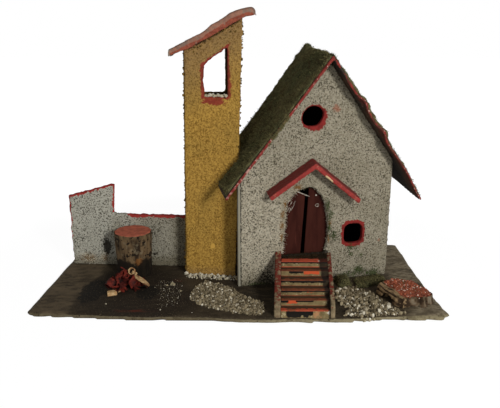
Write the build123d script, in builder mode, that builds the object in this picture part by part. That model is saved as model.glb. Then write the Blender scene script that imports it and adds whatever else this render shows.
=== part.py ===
from build123d import *

import math
import os

os.makedirs("parts", exist_ok=True)

# Papier-mache nativity house on a card board, in millimetres.
# X runs to the right, Y to the back and Z up; the origin is the middle of the board's underside.

# Board under everything
base_width = 400.0
base_depth = 183.0
base_thickness = 5.0
base_bow = 12.0
base_back_inset = 12.0
base_corner_radius = 2.0

# House walls of thick card, turned on the board
house_turn = 12.0
house_offset = -1.3
house_setback = 56.7
house_width = 163.0
house_depth = 74.0
house_wall = 6.0
left_wall_inset = 8.0

# Roof, one card folded at the ridge, with a layer of moss on each side
ridge_height = 235.3
ridge_from_left = 89.6
left_pitch = 52.0
right_pitch = 54.7
left_slope_length = 171.0
right_slope_length = 175.5
roof_card = 2.4
roof_front_overhang = 16.8
roof_back_overhang = 6.0
ridge_rise = 2.5
roof_notch_clearance = 1.0
moss_thickness = 1.4
moss_inset = 2.5

# Stairs, one folded strip between two stringers
step_count = 6
first_rise = 6.2
step_rise = 4.8
stair_card = 2.0
tread_dip = 1.2
stair_shift = -3.0
stair_top_width = 48.0
stair_skew = 3.5
stair_foot_width = 47.0
stair_front_margin = 0.6
stringer_thickness = 4.5
stringer_left_rise = 7.0
stringer_right_rise = 1.0
stringer_foot_rise = 4.0

# Door with two leaves behind a pointed opening, and a folded canopy over it
door_left = 46.0
door_width = 47.0
door_height = 73.3
leaf_card = 2.0
leaf_lap = 5.0
leaf_slit = 4.3
slit_lean = 4.0
canopy_card = 4.6
canopy_depth = 14.0
canopy_droop = 3.0
canopy_left_run = 47.2
canopy_right_run = 49.0
canopy_left_pitch = 34.3
canopy_right_pitch = 39.5
canopy_above_door = 31.0
canopy_offset = 6.6

# Windows in the house front
round_window_radius = 11.5
round_window_below_ridge = 60.9
round_window_offset = -13.1
small_window_width = 18.0
small_window_height = 21.5
small_window_from_right = 39.7
small_window_centre_height = 50.3
small_window_corner = 3.0

# Bell tower beside the house, wider at the top
tower_turn = -7.0
tower_setback = 27.0
tower_foot_width = 50.9
tower_left_height = 239.4
tower_right_height = 269.1
tower_left_lean = 4.5
tower_right_lean = 8.8
tower_depth = 46.0
tower_wall = 5.0
tower_house_gap = 1.5
tower_slab_thickness = 4.0
tower_slab_front = 6.0
tower_slab_back = 5.0
tower_slab_left = 15.0
tower_slab_right = 13.0

# Garden wall from the board's left edge to the tower
garden_turn = -2.7
garden_setback = 22.0
garden_thickness = 6.5
garden_margin = 4.0
garden_left_height = 79.0
garden_peak_height = 94.0
garden_low_height = 61.3
garden_end_height = 60.0
garden_step_share = 0.385
garden_step_lean = 2.5

# Log stump against the garden wall
stump_radius = 19.4
stump_foot_radius = 17.8
stump_height = 49.0
stump_rim = 1.2
stump_gap = 0.3
stump_place_share = 0.576
stump_ridges = 13
stump_ridge_share = 0.022
stump_oval_share = 0.025

# Camp fire of wood shavings leaning together, with a ring, a curl and a chip
fire_gap = 1.0
fire_shift = -1.0
shaving_count = 5
shaving_length = 22.0
shaving_width = 6.4
shaving_sag = 1.4
shaving_thickness = 1.0
shaving_lean = 55.0
fire_radius = 18.0
fire_ring_radius = 6.2
fire_ring_height = 4.0
curl_radius = 9.0
curl_sweep = 200.0
curl_height = 6.0
curl_thickness = 1.1
chip_length = 10.0
chip_width = 6.0
chip_height = 4.0
chip_turn = 24.0
chip_left_angle = 80.0
chip_right_angle = 72.0

# Gravel, and crumbs at the foot of the tower
pebble_spacing = 4.4
pebble_radius = 1.7
pebble_height = 1.9
pebble_sides = 5
pebble_taper = 18.0
pebble_turn = 47.0
pebble_sizes = 3
pebble_shrink_share = 0.11
pebble_drop_share = 0.2
pebble_jitter_share = 0.09
pebble_jitter_turns = (12.9, 7.3)
path_width = 72.0
path_depth = 75.0
path_gap = 12.0
path_front_margin = 6.0
patch_front_margin = 4.0
patch_gap = 2.5
patch_bark_gap = 2.2
crumb_count = 8
crumb_radius = 2.2
crumb_height = 2.6
crumb_gap = 1.5

# Slab of bark on the right, hollow at its left side, with grit on top
bark_width = 50.0
bark_depth = 52.0
bark_height = 11.0
bark_margin = 12.0
bark_front_margin = 8.0
bark_hollow_radius = 8.0
bark_hollow_depth = 20.0
bark_hollow_turn = 207.0
bark_groove_radius = 1.7
bark_groove_count = 6
grit_spacing = 6.5
grit_radius = 1.7
grit_height = 1.5

# Moss clumps on the ground at the foot of the house
clump_height = 6.0
clump_taper = 32.0
clump_gap = 0.4
stair_clump_width = 15.0
stair_clump_depth = 22.0
wall_clump_width = 34.0
wall_clump_depth = 11.0

# One overrun serves every cut
overrun = 20.0

# Outlines drawn by hand, as shares of the sizes that they follow
door_left_shares = [(0.0, 0.0), (0.03, 0.27), (0.07, 0.57), (0.13, 0.81), (0.28, 0.92), (0.66, 1.0)]
door_right_shares = [(0.66, 1.0), (0.79, 0.935), (0.91, 0.835), (1.01, 0.62), (1.05, 0.44), (0.98, 0.0)]
leaf_meeting_share = 0.455
left_leaf_top_shares = (1.0, 0.86)
bell_left_share = 0.4
bell_width_share = 0.555
bell_sill_share = 0.806
bell_left_top_share = 0.942
bell_right_top_share = 0.898
path_shares = [
    (0.0, 0.47), (0.06, 0.85), (0.17, 1.0), (0.4, 0.88), (0.57, 0.75), (0.72, 0.53),
    (0.85, 0.44), (1.0, 0.34), (1.0, 0.21), (0.96, 0.0), (0.8, 0.02), (0.57, 0.09),
    (0.29, 0.21), (0.12, 0.31),
]
patch_shares = [
    (0.0, 0.56), (0.0, 0.86), (0.16, 1.0), (0.3, 0.86), (0.39, 0.66),
    (0.44, 0.47), (0.55, 0.1), (0.36, 0.0), (0.12, 0.0), (0.06, 0.35),
]
bark_shares = [
    (-0.98, 0.31), (-0.63, 0.7), (-0.07, 1.0), (0.42, 0.7), (0.86, -0.1), (1.0, -0.58),
    (0.55, -0.98), (0.2, -0.84), (-0.2, -1.0), (-0.45, -0.76), (-0.75, -0.23),
]
bark_top_share = 0.92
grit_field_share = 0.67
bark_groove_shares = [(-0.1, -0.97), (0.95, -0.74)]
clump_shares = [
    (-0.5, -0.3), (-0.28, -0.5), (0.12, -0.42), (0.46, -0.5), (0.5, 0.1), (0.44, 0.5), (-0.46, 0.5),
]


def direction(degrees):
    """A level direction, turned anticlockwise from +X."""
    return Vector(math.cos(math.radians(degrees)), math.sin(math.radians(degrees)), 0)


def upright(origin, degrees):
    """A standing plane: x to the right along the given turn, y up, facing the viewer."""
    return Plane(origin=origin, x_dir=direction(degrees), z_dir=direction(degrees - 90))


def outline(plane, points):
    """A flat sketch with straight edges through the given points of a plane."""
    with BuildSketch(plane) as flat:
        with BuildLine():
            Polyline(*points, close=True)
        make_face()
    return flat.sketch


def slope_inward(pitch, side):
    """The inward direction of a slope, square to it; side is -1 on the left and 1 on the right."""
    return Vector(-side * math.sin(math.radians(pitch)), -math.cos(math.radians(pitch)))


def slope_end(apex, pitch, side, length):
    """The lower end of a slope that leaves an apex to one side."""
    return apex + Vector(side * math.cos(math.radians(pitch)), -math.sin(math.radians(pitch))) * length


def mitred(apex, left, right, depth):
    """The apex of two slopes, given by their pitches, after both are moved in by a depth."""
    left_in = slope_inward(left, -1)
    right_in = slope_inward(right, 1)
    return apex + (left_in + right_in) * (depth / (1 + left_in.dot(right_in)))


def folded_profile(apex, left, right, left_length, right_length, card):
    """The section of a card folded at its apex, square at both ends, outer line first."""
    left_tip = slope_end(apex, left, -1, left_length)
    right_tip = slope_end(apex, right, 1, right_length)
    right_under = right_tip + slope_inward(right, 1) * card
    left_under = left_tip + slope_inward(left, -1) * card
    return [left_tip, apex, right_tip, right_under, mitred(apex, left, right, card), left_under]


def pebble_places(field, spacing):
    """Places on a loose grid inside a flat field, each with a number that varies its pebble."""
    box = field.bounding_box()
    columns = int(box.size.X / spacing) + 1
    rows = int(box.size.Y / spacing) + 1
    places = []
    for row in range(rows):
        for column in range(columns):
            number = row * columns + column
            sway_x, sway_y = [pebble_jitter_share * math.sin(number * turn) for turn in pebble_jitter_turns]
            x = box.min.X + (column + row % 2 / 2 + sway_x) * spacing
            y = box.min.Y + (row + sway_y) * spacing
            if any(face.is_inside(Vector(x, y, box.min.Z)) for face in field.faces()):
                places.append((x, y, number))
    return places


def pebbles(level, places, radius, height):
    """Small tapered stones on a level, in a few sizes that take turns, with their heights."""
    stones = []
    for size in range(pebble_sizes):
        with BuildSketch(Plane.XY.offset(level)) as cut:
            for x, y, number in places:
                if number % pebble_sizes == size:
                    with Locations((x, y)):
                        reach = radius * (1 - size * pebble_shrink_share)
                        RegularPolygon(reach, pebble_sides, rotation=number * pebble_turn)
        if cut.faces():
            stones.append((cut.sketch, height * (1 - size * pebble_drop_share)))
    return stones


# Places that several pieces share
up = Vector(0, 0, 1)
back_y = (base_depth + base_bow) / 2
corner_y = back_y - base_depth
bow_radius = (base_width**2 / 4 + base_bow**2) / (2 * base_bow)
top = base_thickness
along = direction(house_turn)
inward = direction(house_turn + 90)
house_corner = Vector(house_offset, corner_y + house_setback, top)


def front_edge(x):
    """The Y of the board's bowed front edge at a given X."""
    return corner_y - base_bow + bow_radius - math.sqrt(bow_radius**2 - x**2)


def house_point(u, v):
    """A point on the board, u along the house's front and v into the house."""
    return house_corner + along * u + inward * v


# Board: thick card with a bowed front edge and drawn-in back corners
with BuildPart() as base_board:
    with BuildSketch():
        with BuildLine():
            ThreePointArc((-base_width / 2, corner_y), (0, corner_y - base_bow), (base_width / 2, corner_y))
            Polyline(
                (base_width / 2, corner_y),
                (base_width / 2 - base_back_inset, back_y),
                (base_back_inset - base_width / 2, back_y),
                (-base_width / 2, corner_y),
            )
        make_face()
    extrude(amount=base_thickness)
    fillet(base_board.edges().filter_by(Axis.Z), base_corner_radius)

# Tower in plan and elevation, and what stands beside it
left_wall_top = ridge_height - (ridge_from_left - left_wall_inset) * math.tan(math.radians(left_pitch))
tower_foot_gap = tower_house_gap + tower_right_lean * left_wall_top / tower_right_height
tower_across = direction(tower_turn)
tower_right_foot = house_point(left_wall_inset - tower_foot_gap, tower_setback)
tower_left_foot = tower_right_foot - tower_across * tower_foot_width
tower_plane = upright(tower_left_foot, tower_turn)


def tower_left(z):
    """Where the tower's left edge is at a height."""
    return tower_left_lean * z / tower_left_height


def tower_right(z):
    """Where the tower's right edge is at a height."""
    return tower_foot_width + tower_right_lean * z / tower_right_height


tower_slope = (tower_right_height - tower_left_height) / (tower_right(tower_right_height) - tower_left_lean)
tower_back_plane = upright(tower_left_foot + inward * (tower_depth - tower_wall), tower_turn)
tower_side_plane = upright(tower_left_foot + inward * tower_wall, tower_turn)
tower_front_shape = [
    (0, 0),
    (tower_foot_width, 0),
    (tower_right(tower_right_height), tower_right_height),
    (tower_left_lean, tower_left_height),
]
bell_left = bell_left_share * tower_foot_width
bell_right = bell_left + bell_width_share * tower_foot_width
bell_sill = bell_sill_share * tower_left_height
bell_shape = [
    (bell_left, bell_sill),
    (bell_right, bell_sill),
    (bell_right, bell_right_top_share * tower_right_height),
    (bell_left, bell_left_top_share * tower_left_height),
]

# Tower front: rendered card with the bell opening
with BuildPart() as tower_front_wall:
    extrude(outline(tower_plane, tower_front_shape), amount=tower_wall, dir=inward)
    extrude(outline(tower_plane, bell_shape), amount=tower_wall, dir=inward, mode=Mode.SUBTRACT)

# Tower back: the same card, open behind the bell opening too
with BuildPart() as tower_back_wall:
    extrude(outline(tower_back_plane, tower_front_shape), amount=tower_wall, dir=inward)
    extrude(outline(tower_back_plane, bell_shape), amount=tower_wall, dir=inward, mode=Mode.SUBTRACT)

# Tower sides: strips between the front and the back
tower_side_depth = tower_depth - 2 * tower_wall
with BuildPart() as tower_left_wall:
    left_strip = [
        (0, 0),
        (tower_wall, 0),
        (tower_left_lean + tower_wall, tower_left_height + tower_slope * tower_wall),
        (tower_left_lean, tower_left_height),
    ]
    extrude(outline(tower_side_plane, left_strip), amount=tower_side_depth, dir=inward)
with BuildPart() as tower_right_wall:
    right_strip = [
        (tower_foot_width - tower_wall, 0),
        (tower_foot_width, 0),
        (tower_right(tower_right_height), tower_right_height),
        (tower_right(tower_right_height) - tower_wall, tower_right_height - tower_slope * tower_wall),
    ]
    extrude(outline(tower_side_plane, right_strip), amount=tower_side_depth, dir=inward)

# Tower roof: one sloping card slab that stands out all round
slab_left = tower_left_lean - tower_slab_left
slab_right = tower_right(tower_right_height) + tower_slab_right
slab_left_z = tower_left_height - tower_slope * tower_slab_left
slab_right_z = tower_right_height + tower_slope * tower_slab_right
slab_rise = tower_slab_thickness * math.sqrt(1 + tower_slope**2)
with BuildPart() as tower_roof:
    slab_shape = [
        (slab_left, slab_left_z),
        (slab_right, slab_right_z),
        (slab_right, slab_right_z + slab_rise),
        (slab_left, slab_left_z + slab_rise),
    ]
    extrude(
        outline(upright(tower_left_foot - inward * tower_slab_front, tower_turn), slab_shape),
        amount=tower_slab_front + tower_depth + tower_slab_back,
        dir=inward,
    )

# Roof sections, drawn in the plane of the front edge and run back with a slight rise
roof_depth = roof_front_overhang + house_depth + roof_back_overhang
roof_run = (inward * roof_depth + up * ridge_rise).normalized()
roof_length = math.hypot(roof_depth, ridge_rise)
roof_plane = upright(house_corner - inward * roof_front_overhang, house_turn)
ridge = Vector(ridge_from_left, ridge_height)
roof_shape = folded_profile(ridge, left_pitch, right_pitch, left_slope_length, right_slope_length, roof_card)
inner_ridge = mitred(ridge, left_pitch, right_pitch, roof_card)
moss_ridge = mitred(ridge, left_pitch, right_pitch, -moss_thickness)
under_left = slope_end(inner_ridge, left_pitch, -1, left_slope_length + overrun)
under_right = slope_end(inner_ridge, right_pitch, 1, right_slope_length + overrun)
above_roof = outline(
    roof_plane,
    [
        under_left,
        inner_ridge,
        under_right,
        (under_right.X, ridge_height + overrun),
        (under_left.X, ridge_height + overrun),
    ],
)

# The tower's room in the roof: its outline with some clearance, run out past the roof's back
notch_plane = upright(tower_left_foot - inward * roof_notch_clearance, tower_turn)
notch_shape = [
    (-overrun - tower_foot_width, 0),
    (tower_foot_width + roof_notch_clearance, 0),
    (tower_right(tower_right_height) + roof_notch_clearance, tower_right_height),
    (-overrun - tower_foot_width, tower_right_height),
]
tower_room = outline(notch_plane, notch_shape)

with BuildPart() as roof_card_sheet:
    extrude(outline(roof_plane, roof_shape), amount=roof_length, dir=roof_run)
    extrude(tower_room, amount=roof_depth, dir=inward, mode=Mode.SUBTRACT)

# Moss layers on the two slopes, meeting at the ridge
moss_run = roof_length - 2 * moss_inset
moss_plane = upright(house_corner - inward * roof_front_overhang + roof_run * moss_inset, house_turn)
moss_left_tip = slope_end(ridge, left_pitch, -1, left_slope_length - moss_inset)
moss_right_tip = slope_end(ridge, right_pitch, 1, right_slope_length - moss_inset)
moss_left_top = moss_left_tip - slope_inward(left_pitch, -1) * moss_thickness
moss_right_top = moss_right_tip - slope_inward(right_pitch, 1) * moss_thickness
with BuildPart() as roof_moss_left:
    extrude(
        outline(moss_plane, [moss_left_tip, ridge, moss_ridge, moss_left_top]),
        amount=moss_run,
        dir=roof_run,
    )
    extrude(tower_room, amount=roof_depth, dir=inward, mode=Mode.SUBTRACT)
with BuildPart() as roof_moss_right:
    extrude(
        outline(moss_plane, [moss_right_tip, ridge, moss_ridge, moss_right_top]),
        amount=moss_run,
        dir=roof_run,
    )

# House front: thick card up to the roof, with the door, a round window and a small window
front_plane = upright(house_corner, house_turn)
stair_height = first_rise + step_rise * (step_count - 1)
door_top = stair_height + door_height
wall_shape = [(0, 0), (house_width, 0), (house_width, ridge_height), (0, ridge_height)]


def door_point(across_share, up_share):
    """A point of the door's outline on the house front."""
    return door_left + across_share * door_width, stair_height + up_share * door_height


with BuildPart() as house_front_wall:
    extrude(outline(front_plane, wall_shape), amount=house_wall, dir=inward)
    extrude(above_roof, amount=roof_length, dir=roof_run, mode=Mode.SUBTRACT)
    with BuildSketch(front_plane):
        with BuildLine():
            left_points = [door_point(*share) for share in door_left_shares]
            right_points = [door_point(*share) for share in door_right_shares]
            Spline(*left_points)
            Spline(*right_points)
            Line(right_points[-1], left_points[0])
        make_face()
        with Locations((ridge_from_left + round_window_offset, ridge_height - round_window_below_ridge)):
            Circle(round_window_radius)
        with Locations((house_width - small_window_from_right, small_window_centre_height)):
            RectangleRounded(small_window_width, small_window_height, small_window_corner)
    extrude(amount=-house_wall, mode=Mode.SUBTRACT)

# House back: plain card from the left wall to the right wall
with BuildPart() as house_back_wall:
    back_shape = [
        (left_wall_inset, 0),
        (house_width, 0),
        (house_width, ridge_height + ridge_rise),
        (left_wall_inset, ridge_height + ridge_rise),
    ]
    extrude(
        outline(upright(house_point(0, house_depth - house_wall), house_turn), back_shape),
        amount=house_wall,
        dir=inward,
    )
    extrude(above_roof, amount=roof_length, dir=roof_run, mode=Mode.SUBTRACT)

# House sides: card between front and back, cut to the slope of the roof
side_plane = upright(house_point(0, house_wall), house_turn)
side_run = house_depth - 2 * house_wall
with BuildPart() as house_left_wall:
    side_shape = [
        (left_wall_inset, 0),
        (left_wall_inset + house_wall, 0),
        (left_wall_inset + house_wall, ridge_height),
        (left_wall_inset, ridge_height),
    ]
    extrude(outline(side_plane, side_shape), amount=side_run, dir=inward)
    extrude(above_roof, amount=roof_length, dir=roof_run, mode=Mode.SUBTRACT)
with BuildPart() as house_right_wall:
    side_shape = [
        (house_width - house_wall, 0),
        (house_width, 0),
        (house_width, ridge_height),
        (house_width - house_wall, ridge_height),
    ]
    extrude(outline(side_plane, side_shape), amount=side_run, dir=inward)
    extrude(above_roof, amount=roof_length, dir=roof_run, mode=Mode.SUBTRACT)

# Door leaves: two cards glued behind the opening, with a slit between them
leaf_plane = upright(house_point(0, house_wall), house_turn)
leaf_foot = stair_height - leaf_lap
meeting = door_left + leaf_meeting_share * door_width
slit_top = meeting + slit_lean
leaf_head = door_top + leaf_lap
with BuildPart() as door_left_leaf:
    left_head, meeting_head = [stair_height + share * door_height for share in left_leaf_top_shares]
    leaf_shape = [
        (door_left - leaf_lap, leaf_foot),
        (meeting, leaf_foot),
        (slit_top, meeting_head),
        (door_left - leaf_lap, left_head + leaf_lap),
    ]
    extrude(outline(leaf_plane, leaf_shape), amount=leaf_card, dir=inward)
with BuildPart() as door_right_leaf:
    leaf_right = door_left + max(x for x, z in door_right_shares) * door_width + leaf_lap
    leaf_shape = [
        (meeting + leaf_slit, leaf_foot),
        (leaf_right, leaf_foot),
        (leaf_right, leaf_head),
        (slit_top + leaf_slit, leaf_head),
    ]
    extrude(outline(leaf_plane, leaf_shape), amount=leaf_card, dir=inward)

# Door canopy: a strip of card folded over the door, glued to the wall and drooping a little
with BuildPart() as door_canopy:
    canopy_apex = Vector(door_left + door_width / 2 + canopy_offset, door_top + canopy_above_door)
    canopy_left = canopy_left_run / math.cos(math.radians(canopy_left_pitch))
    canopy_right = canopy_right_run / math.cos(math.radians(canopy_right_pitch))
    canopy_shape = folded_profile(
        canopy_apex, canopy_left_pitch, canopy_right_pitch, canopy_left, canopy_right, canopy_card
    )
    canopy_run = inward * -canopy_depth - up * canopy_droop
    extrude(outline(front_plane, canopy_shape), amount=math.hypot(canopy_depth, canopy_droop), dir=canopy_run)

# Stairs in plan: wider at the foot, cut to the house front at the back
stair_x = house_point(door_left + door_width / 2, 0).X + stair_shift
foot_y = front_edge(abs(stair_x) + stair_foot_width / 2 + stringer_thickness) + stair_front_margin
wall_slope = math.tan(math.radians(house_turn))


def wall_y(x):
    """The Y of the house front at a given X."""
    return house_corner.Y + (x - house_corner.X) * wall_slope


def stair_side(half_top, half_foot, side):
    """The plan line of one side of the stairs, from the foot to the house front."""
    top_x = stair_x + stair_skew + side * half_top
    return (stair_x + side * half_foot, foot_y), (top_x, wall_y(top_x))


half_top = stair_top_width / 2
half_foot = stair_foot_width / 2
nearest_wall = wall_y(stair_x + stair_skew - half_top - stringer_thickness)
farthest_wall = wall_y(stair_x + stair_skew + half_top + stringer_thickness)
stair_right = stair_x + max(half_foot, half_top + stair_skew) + stringer_thickness
tread_run = (nearest_wall - foot_y) / step_count
side_view = Plane(origin=(stair_x, 0, top), x_dir=(0, 1, 0), z_dir=(1, 0, 0))
plan_view = Plane.XY.offset(top)
stair_span = 2 * (stair_right - stair_x)

# Stair strip: risers and treads folded from one piece of card
with BuildPart() as stair_flight:
    with BuildSketch(side_view):
        with BuildLine():
            folds = [(foot_y, 0)]
            for step in range(step_count):
                height = first_rise + step * step_rise
                folds.append((foot_y + step * tread_run, height))
                folds.append((foot_y + (step + 1) * tread_run, height - tread_dip))
            folds[-1] = (farthest_wall, stair_height)
            under = [(folds[-1][0], stair_height - stair_card)]
            for y, z in reversed(folds[1:-1]):
                under.append((y + stair_card, z - stair_card))
            under.append((foot_y + stair_card, 0))
            Polyline(*folds, *under, close=True)
        make_face()
    extrude(amount=stair_span / 2, both=True)
    with BuildSketch(plan_view):
        with BuildLine():
            left_foot, left_wall = stair_side(half_top, half_foot, -1)
            right_foot, right_wall = stair_side(half_top, half_foot, 1)
            Polyline(left_foot, right_foot, right_wall, left_wall, close=True)
        make_face()
    extrude(amount=stair_height, mode=Mode.INTERSECT)


def stringer_outline(wall_line, rise):
    """The side view of a stringer that stands a rise above the landing at the house front."""
    return outline(
        side_view,
        [
            (foot_y, 0),
            (farthest_wall, 0),
            (farthest_wall, stair_height + rise),
            (wall_line, stair_height + rise),
            (foot_y, first_rise + stringer_foot_rise),
        ],
    )


def stringer_plan(side):
    """The plan of a stringer beside the steps."""
    inner_foot, inner_wall = stair_side(half_top, half_foot, side)
    outer_foot, outer_wall = stair_side(half_top + stringer_thickness, half_foot + stringer_thickness, side)
    return outline(plan_view, [inner_foot, outer_foot, outer_wall, inner_wall])


# Stringers: two cards on edge that hold the steps between them
with BuildPart() as stair_left_stringer:
    left_wall_line = wall_y(stair_x + stair_skew - half_top)
    extrude(stringer_outline(left_wall_line, stringer_left_rise), amount=stair_span, both=True)
    extrude(stringer_plan(-1), amount=stair_height + stringer_left_rise, mode=Mode.INTERSECT)
with BuildPart() as stair_right_stringer:
    right_wall_line = wall_y(stair_x + stair_skew + half_top)
    extrude(stringer_outline(right_wall_line, stringer_right_rise), amount=stair_span, both=True)
    extrude(stringer_plan(1), amount=stair_height + stringer_right_rise, mode=Mode.INTERSECT)

# Garden wall: stepped card from near the board's left edge to the tower's left side
garden_across = direction(garden_turn)
garden_end = tower_left_foot + inward * garden_setback
left_edge_slope = base_back_inset / base_depth
garden_left_x = (garden_end.Y - corner_y) * left_edge_slope - base_width / 2 + garden_margin
garden_length = (garden_end.X - garden_left_x) / garden_across.X
garden_plane = upright(garden_end - garden_across * garden_length, garden_turn)
garden_step = garden_step_share * garden_length
garden_lean = tower_left(garden_end_height) * tower_across.dot(along) / garden_across.dot(along)
with BuildPart() as garden_wall:
    garden_shape = [
        (0, 0),
        (garden_length, 0),
        (garden_length + garden_lean, garden_end_height),
        (garden_step, garden_low_height),
        (garden_step + garden_step_lean, garden_peak_height),
        (0, garden_left_height),
    ]
    extrude(outline(garden_plane, garden_shape), amount=garden_thickness, dir=inward)

# Log stump: sawn log with ridged bark, a little narrower at the foot
stump_foot_point = garden_end - garden_across * (garden_length * (1 - stump_place_share))
stump_reach = stump_radius * (1 + stump_ridge_share + stump_oval_share) + stump_gap
stump_centre = stump_foot_point - direction(garden_turn + 90) * stump_reach


def bark_ring(radius):
    """A closed ring of bark ridges on a slightly oval log."""
    points = []
    for place in range(2 * stump_ridges):
        angle = math.pi * place / stump_ridges
        ridge_part = stump_ridge_share * (1 if place % 2 else -1)
        reach = radius * (1 + ridge_part + stump_oval_share * math.cos(2 * angle))
        points.append((reach * math.cos(angle), reach * math.sin(angle)))
    return points


with BuildPart() as log_stump:
    rings = [
        (0, stump_foot_radius),
        (stump_height - stump_rim, stump_radius),
        (stump_height, stump_radius - stump_rim),
    ]
    for ring_height, ring_radius in rings:
        add(outline(Plane(origin=stump_centre + up * ring_height), bark_ring(ring_radius)))
    loft(ruled=True)

# Camp fire: curled shavings that lean together over one place on the board
fire_centre = stump_centre + Vector(fire_shift, -(stump_reach + fire_gap + fire_radius), 0)


def arc_strip(width, sag, thickness):
    """The section of a curled shaving: a shallow arc with a thickness."""
    with BuildLine() as strip:
        ThreePointArc((-width / 2, 0), (0, sag), (width / 2, 0))
        Line((width / 2, 0), (width / 2, thickness))
        ThreePointArc((width / 2, thickness), (0, sag + thickness), (-width / 2, thickness))
        Line((-width / 2, thickness), (-width / 2, 0))
    return strip.line


shaving_rise = math.sin(math.radians(shaving_lean))
shaving_reach = math.cos(math.radians(shaving_lean))
with BuildPart() as fire_shavings:
    for number in range(shaving_count):
        outward = direction(360 * number / shaving_count - 90 / shaving_count)
        lean = up * shaving_rise - outward * shaving_reach
        foot = fire_centre + outward * fire_radius - lean * shaving_width
        with BuildSketch(Plane(origin=foot, x_dir=outward.cross(up), z_dir=lean)):
            add(arc_strip(shaving_width, shaving_sag, shaving_thickness))
            make_face()
        extrude(amount=shaving_length + shaving_width)
    split(bisect_by=plan_view, keep=Keep.TOP)

# A ring shaving on the tips, a curl standing beside them and a chip in front
tip_height = max(vertex.Z for vertex in fire_shavings.vertices())
with BuildPart() as shaving_ring:
    with BuildSketch(Plane(origin=(fire_centre.X, fire_centre.Y, tip_height))):
        Circle(fire_ring_radius)
        Circle(fire_ring_radius - shaving_thickness, mode=Mode.SUBTRACT)
    extrude(amount=fire_ring_height)
with BuildPart() as shaving_curl:
    curl_centre = fire_centre + Vector(fire_radius + curl_radius + fire_gap, 0, 0)
    with BuildSketch(Plane(origin=curl_centre)):
        with BuildLine():
            CenterArc((0, 0), curl_radius, 0, curl_sweep)
            CenterArc((0, 0), curl_radius - curl_thickness, 0, curl_sweep)
            Line((curl_radius - curl_thickness, 0), (curl_radius, 0))
            inner_end = direction(curl_sweep) * (curl_radius - curl_thickness)
            Line(inner_end, direction(curl_sweep) * curl_radius)
        make_face()
    extrude(amount=curl_height)
with BuildPart() as wood_chip:
    chip_way = direction(180 + 270 / shaving_count)
    chip_centre = fire_centre + chip_way * (fire_radius + chip_width / 2)
    with BuildSketch(Plane(origin=chip_centre, x_dir=direction(chip_turn), z_dir=up)):
        Trapezoid(chip_length, chip_width, chip_left_angle, chip_right_angle)
    extrude(amount=chip_height)

# Gravel path from the tower's foot to the stairs
path_right = stair_x - half_foot - stringer_thickness - path_gap
path_front = front_edge(path_right) + path_front_margin
path_outline = outline(
    plan_view, [(path_right - path_width * (1 - x), path_front + path_depth * y) for x, y in path_shares]
)
with BuildPart() as gravel_path:
    path_places = pebble_places(path_outline, pebble_spacing)
    for stones, stone_height in pebbles(top, path_places, pebble_radius, pebble_height):
        extrude(stones, amount=stone_height, taper=pebble_taper)

# Slab of bark with a hollow under its left side and grooves along its front
bark_x = base_width / 2 - bark_margin - bark_width / 2
bark_centre = Vector(bark_x, corner_y + bark_front_margin + bark_depth / 2, top)


def bark_points(spread):
    """The bark's outline about its centre, drawn in by a spread."""
    return [(x * spread * bark_width / 2, y * spread * bark_depth / 2) for x, y in bark_shares]


with BuildPart() as bark_slab:
    for level, spread in ((0, 1), (bark_height, bark_top_share)):
        add(outline(Plane(origin=bark_centre + up * level), bark_points(spread)))
    loft(ruled=True)
    hollow_axis = direction(bark_hollow_turn)
    hollow_start = bark_centre + hollow_axis * bark_width
    with BuildSketch(Plane(origin=hollow_start, x_dir=hollow_axis.cross(up), z_dir=-hollow_axis)):
        Circle(bark_hollow_radius)
    extrude(amount=bark_width / 2 + bark_hollow_depth, mode=Mode.SUBTRACT)
    groove_start, groove_end = [Vector(x * bark_width / 2, y * bark_depth / 2) for x, y in bark_groove_shares]
    with BuildSketch(Plane(origin=bark_centre)):
        for groove in range(bark_groove_count):
            place = groove_start + (groove_end - groove_start) * (groove / (bark_groove_count - 1))
            with Locations(place):
                Circle(bark_groove_radius)
    extrude(amount=bark_height, mode=Mode.SUBTRACT)

# Grit on the bark's painted top
bark_top = top + bark_height
grit_field = outline(Plane(origin=bark_centre + up * bark_height), bark_points(grit_field_share))
with BuildPart() as bark_grit:
    grit_places = pebble_places(grit_field, grit_spacing)
    for stones, stone_height in pebbles(bark_top, grit_places, grit_radius, grit_height):
        extrude(stones, amount=stone_height, taper=pebble_taper)

# Gravel patch to the right of the stairs, up to the bark
patch_left = stair_right + patch_gap
patch_front = front_edge(patch_left) + patch_front_margin
patch_span = base_width / 2 - patch_left
patch_reach = wall_y(patch_left) - patch_front - stair_clump_depth
bark_room = 1 + 2 * patch_bark_gap / min(bark_width, bark_depth)
with BuildSketch(plan_view) as patch_field:
    with BuildLine():
        patch_points = [(patch_left + patch_span * x, patch_front + patch_reach * y) for x, y in patch_shares]
        Polyline(*patch_points, close=True)
    make_face()
    with Locations((bark_centre.X, bark_centre.Y)):
        Polygon(*bark_points(bark_room), align=None, mode=Mode.SUBTRACT)
with BuildPart() as gravel_patch:
    patch_places = pebble_places(patch_field.sketch, pebble_spacing)
    for stones, stone_height in pebbles(top, patch_places, pebble_radius, pebble_height):
        extrude(stones, amount=stone_height, taper=pebble_taper)

# Pale crumbs in a row along the tower's foot
with BuildPart() as tower_crumbs:
    crumb_pitch = tower_foot_width / crumb_count
    crumb_offset = direction(tower_turn - 90) * (crumb_radius + crumb_gap)
    crumb_places = []
    for number in range(crumb_count):
        place = tower_left_foot + tower_across * (crumb_pitch * (number + 1 / 2)) + crumb_offset
        crumb_places.append((place.X, place.Y, number))
    for stones, stone_height in pebbles(top, crumb_places, crumb_radius, crumb_height):
        extrude(stones, amount=stone_height, taper=pebble_taper)

# Moss clumps on the ground: one by the stairs and one along the house front
clump_left = stair_right + clump_gap


def clump_outline(centre, width, depth):
    """A ragged patch of moss in plan, turned with the house front."""
    plane = Plane(origin=centre, x_dir=along, z_dir=up)
    return outline(plane, [(x * width, y * depth) for x, y in clump_shares])


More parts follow.
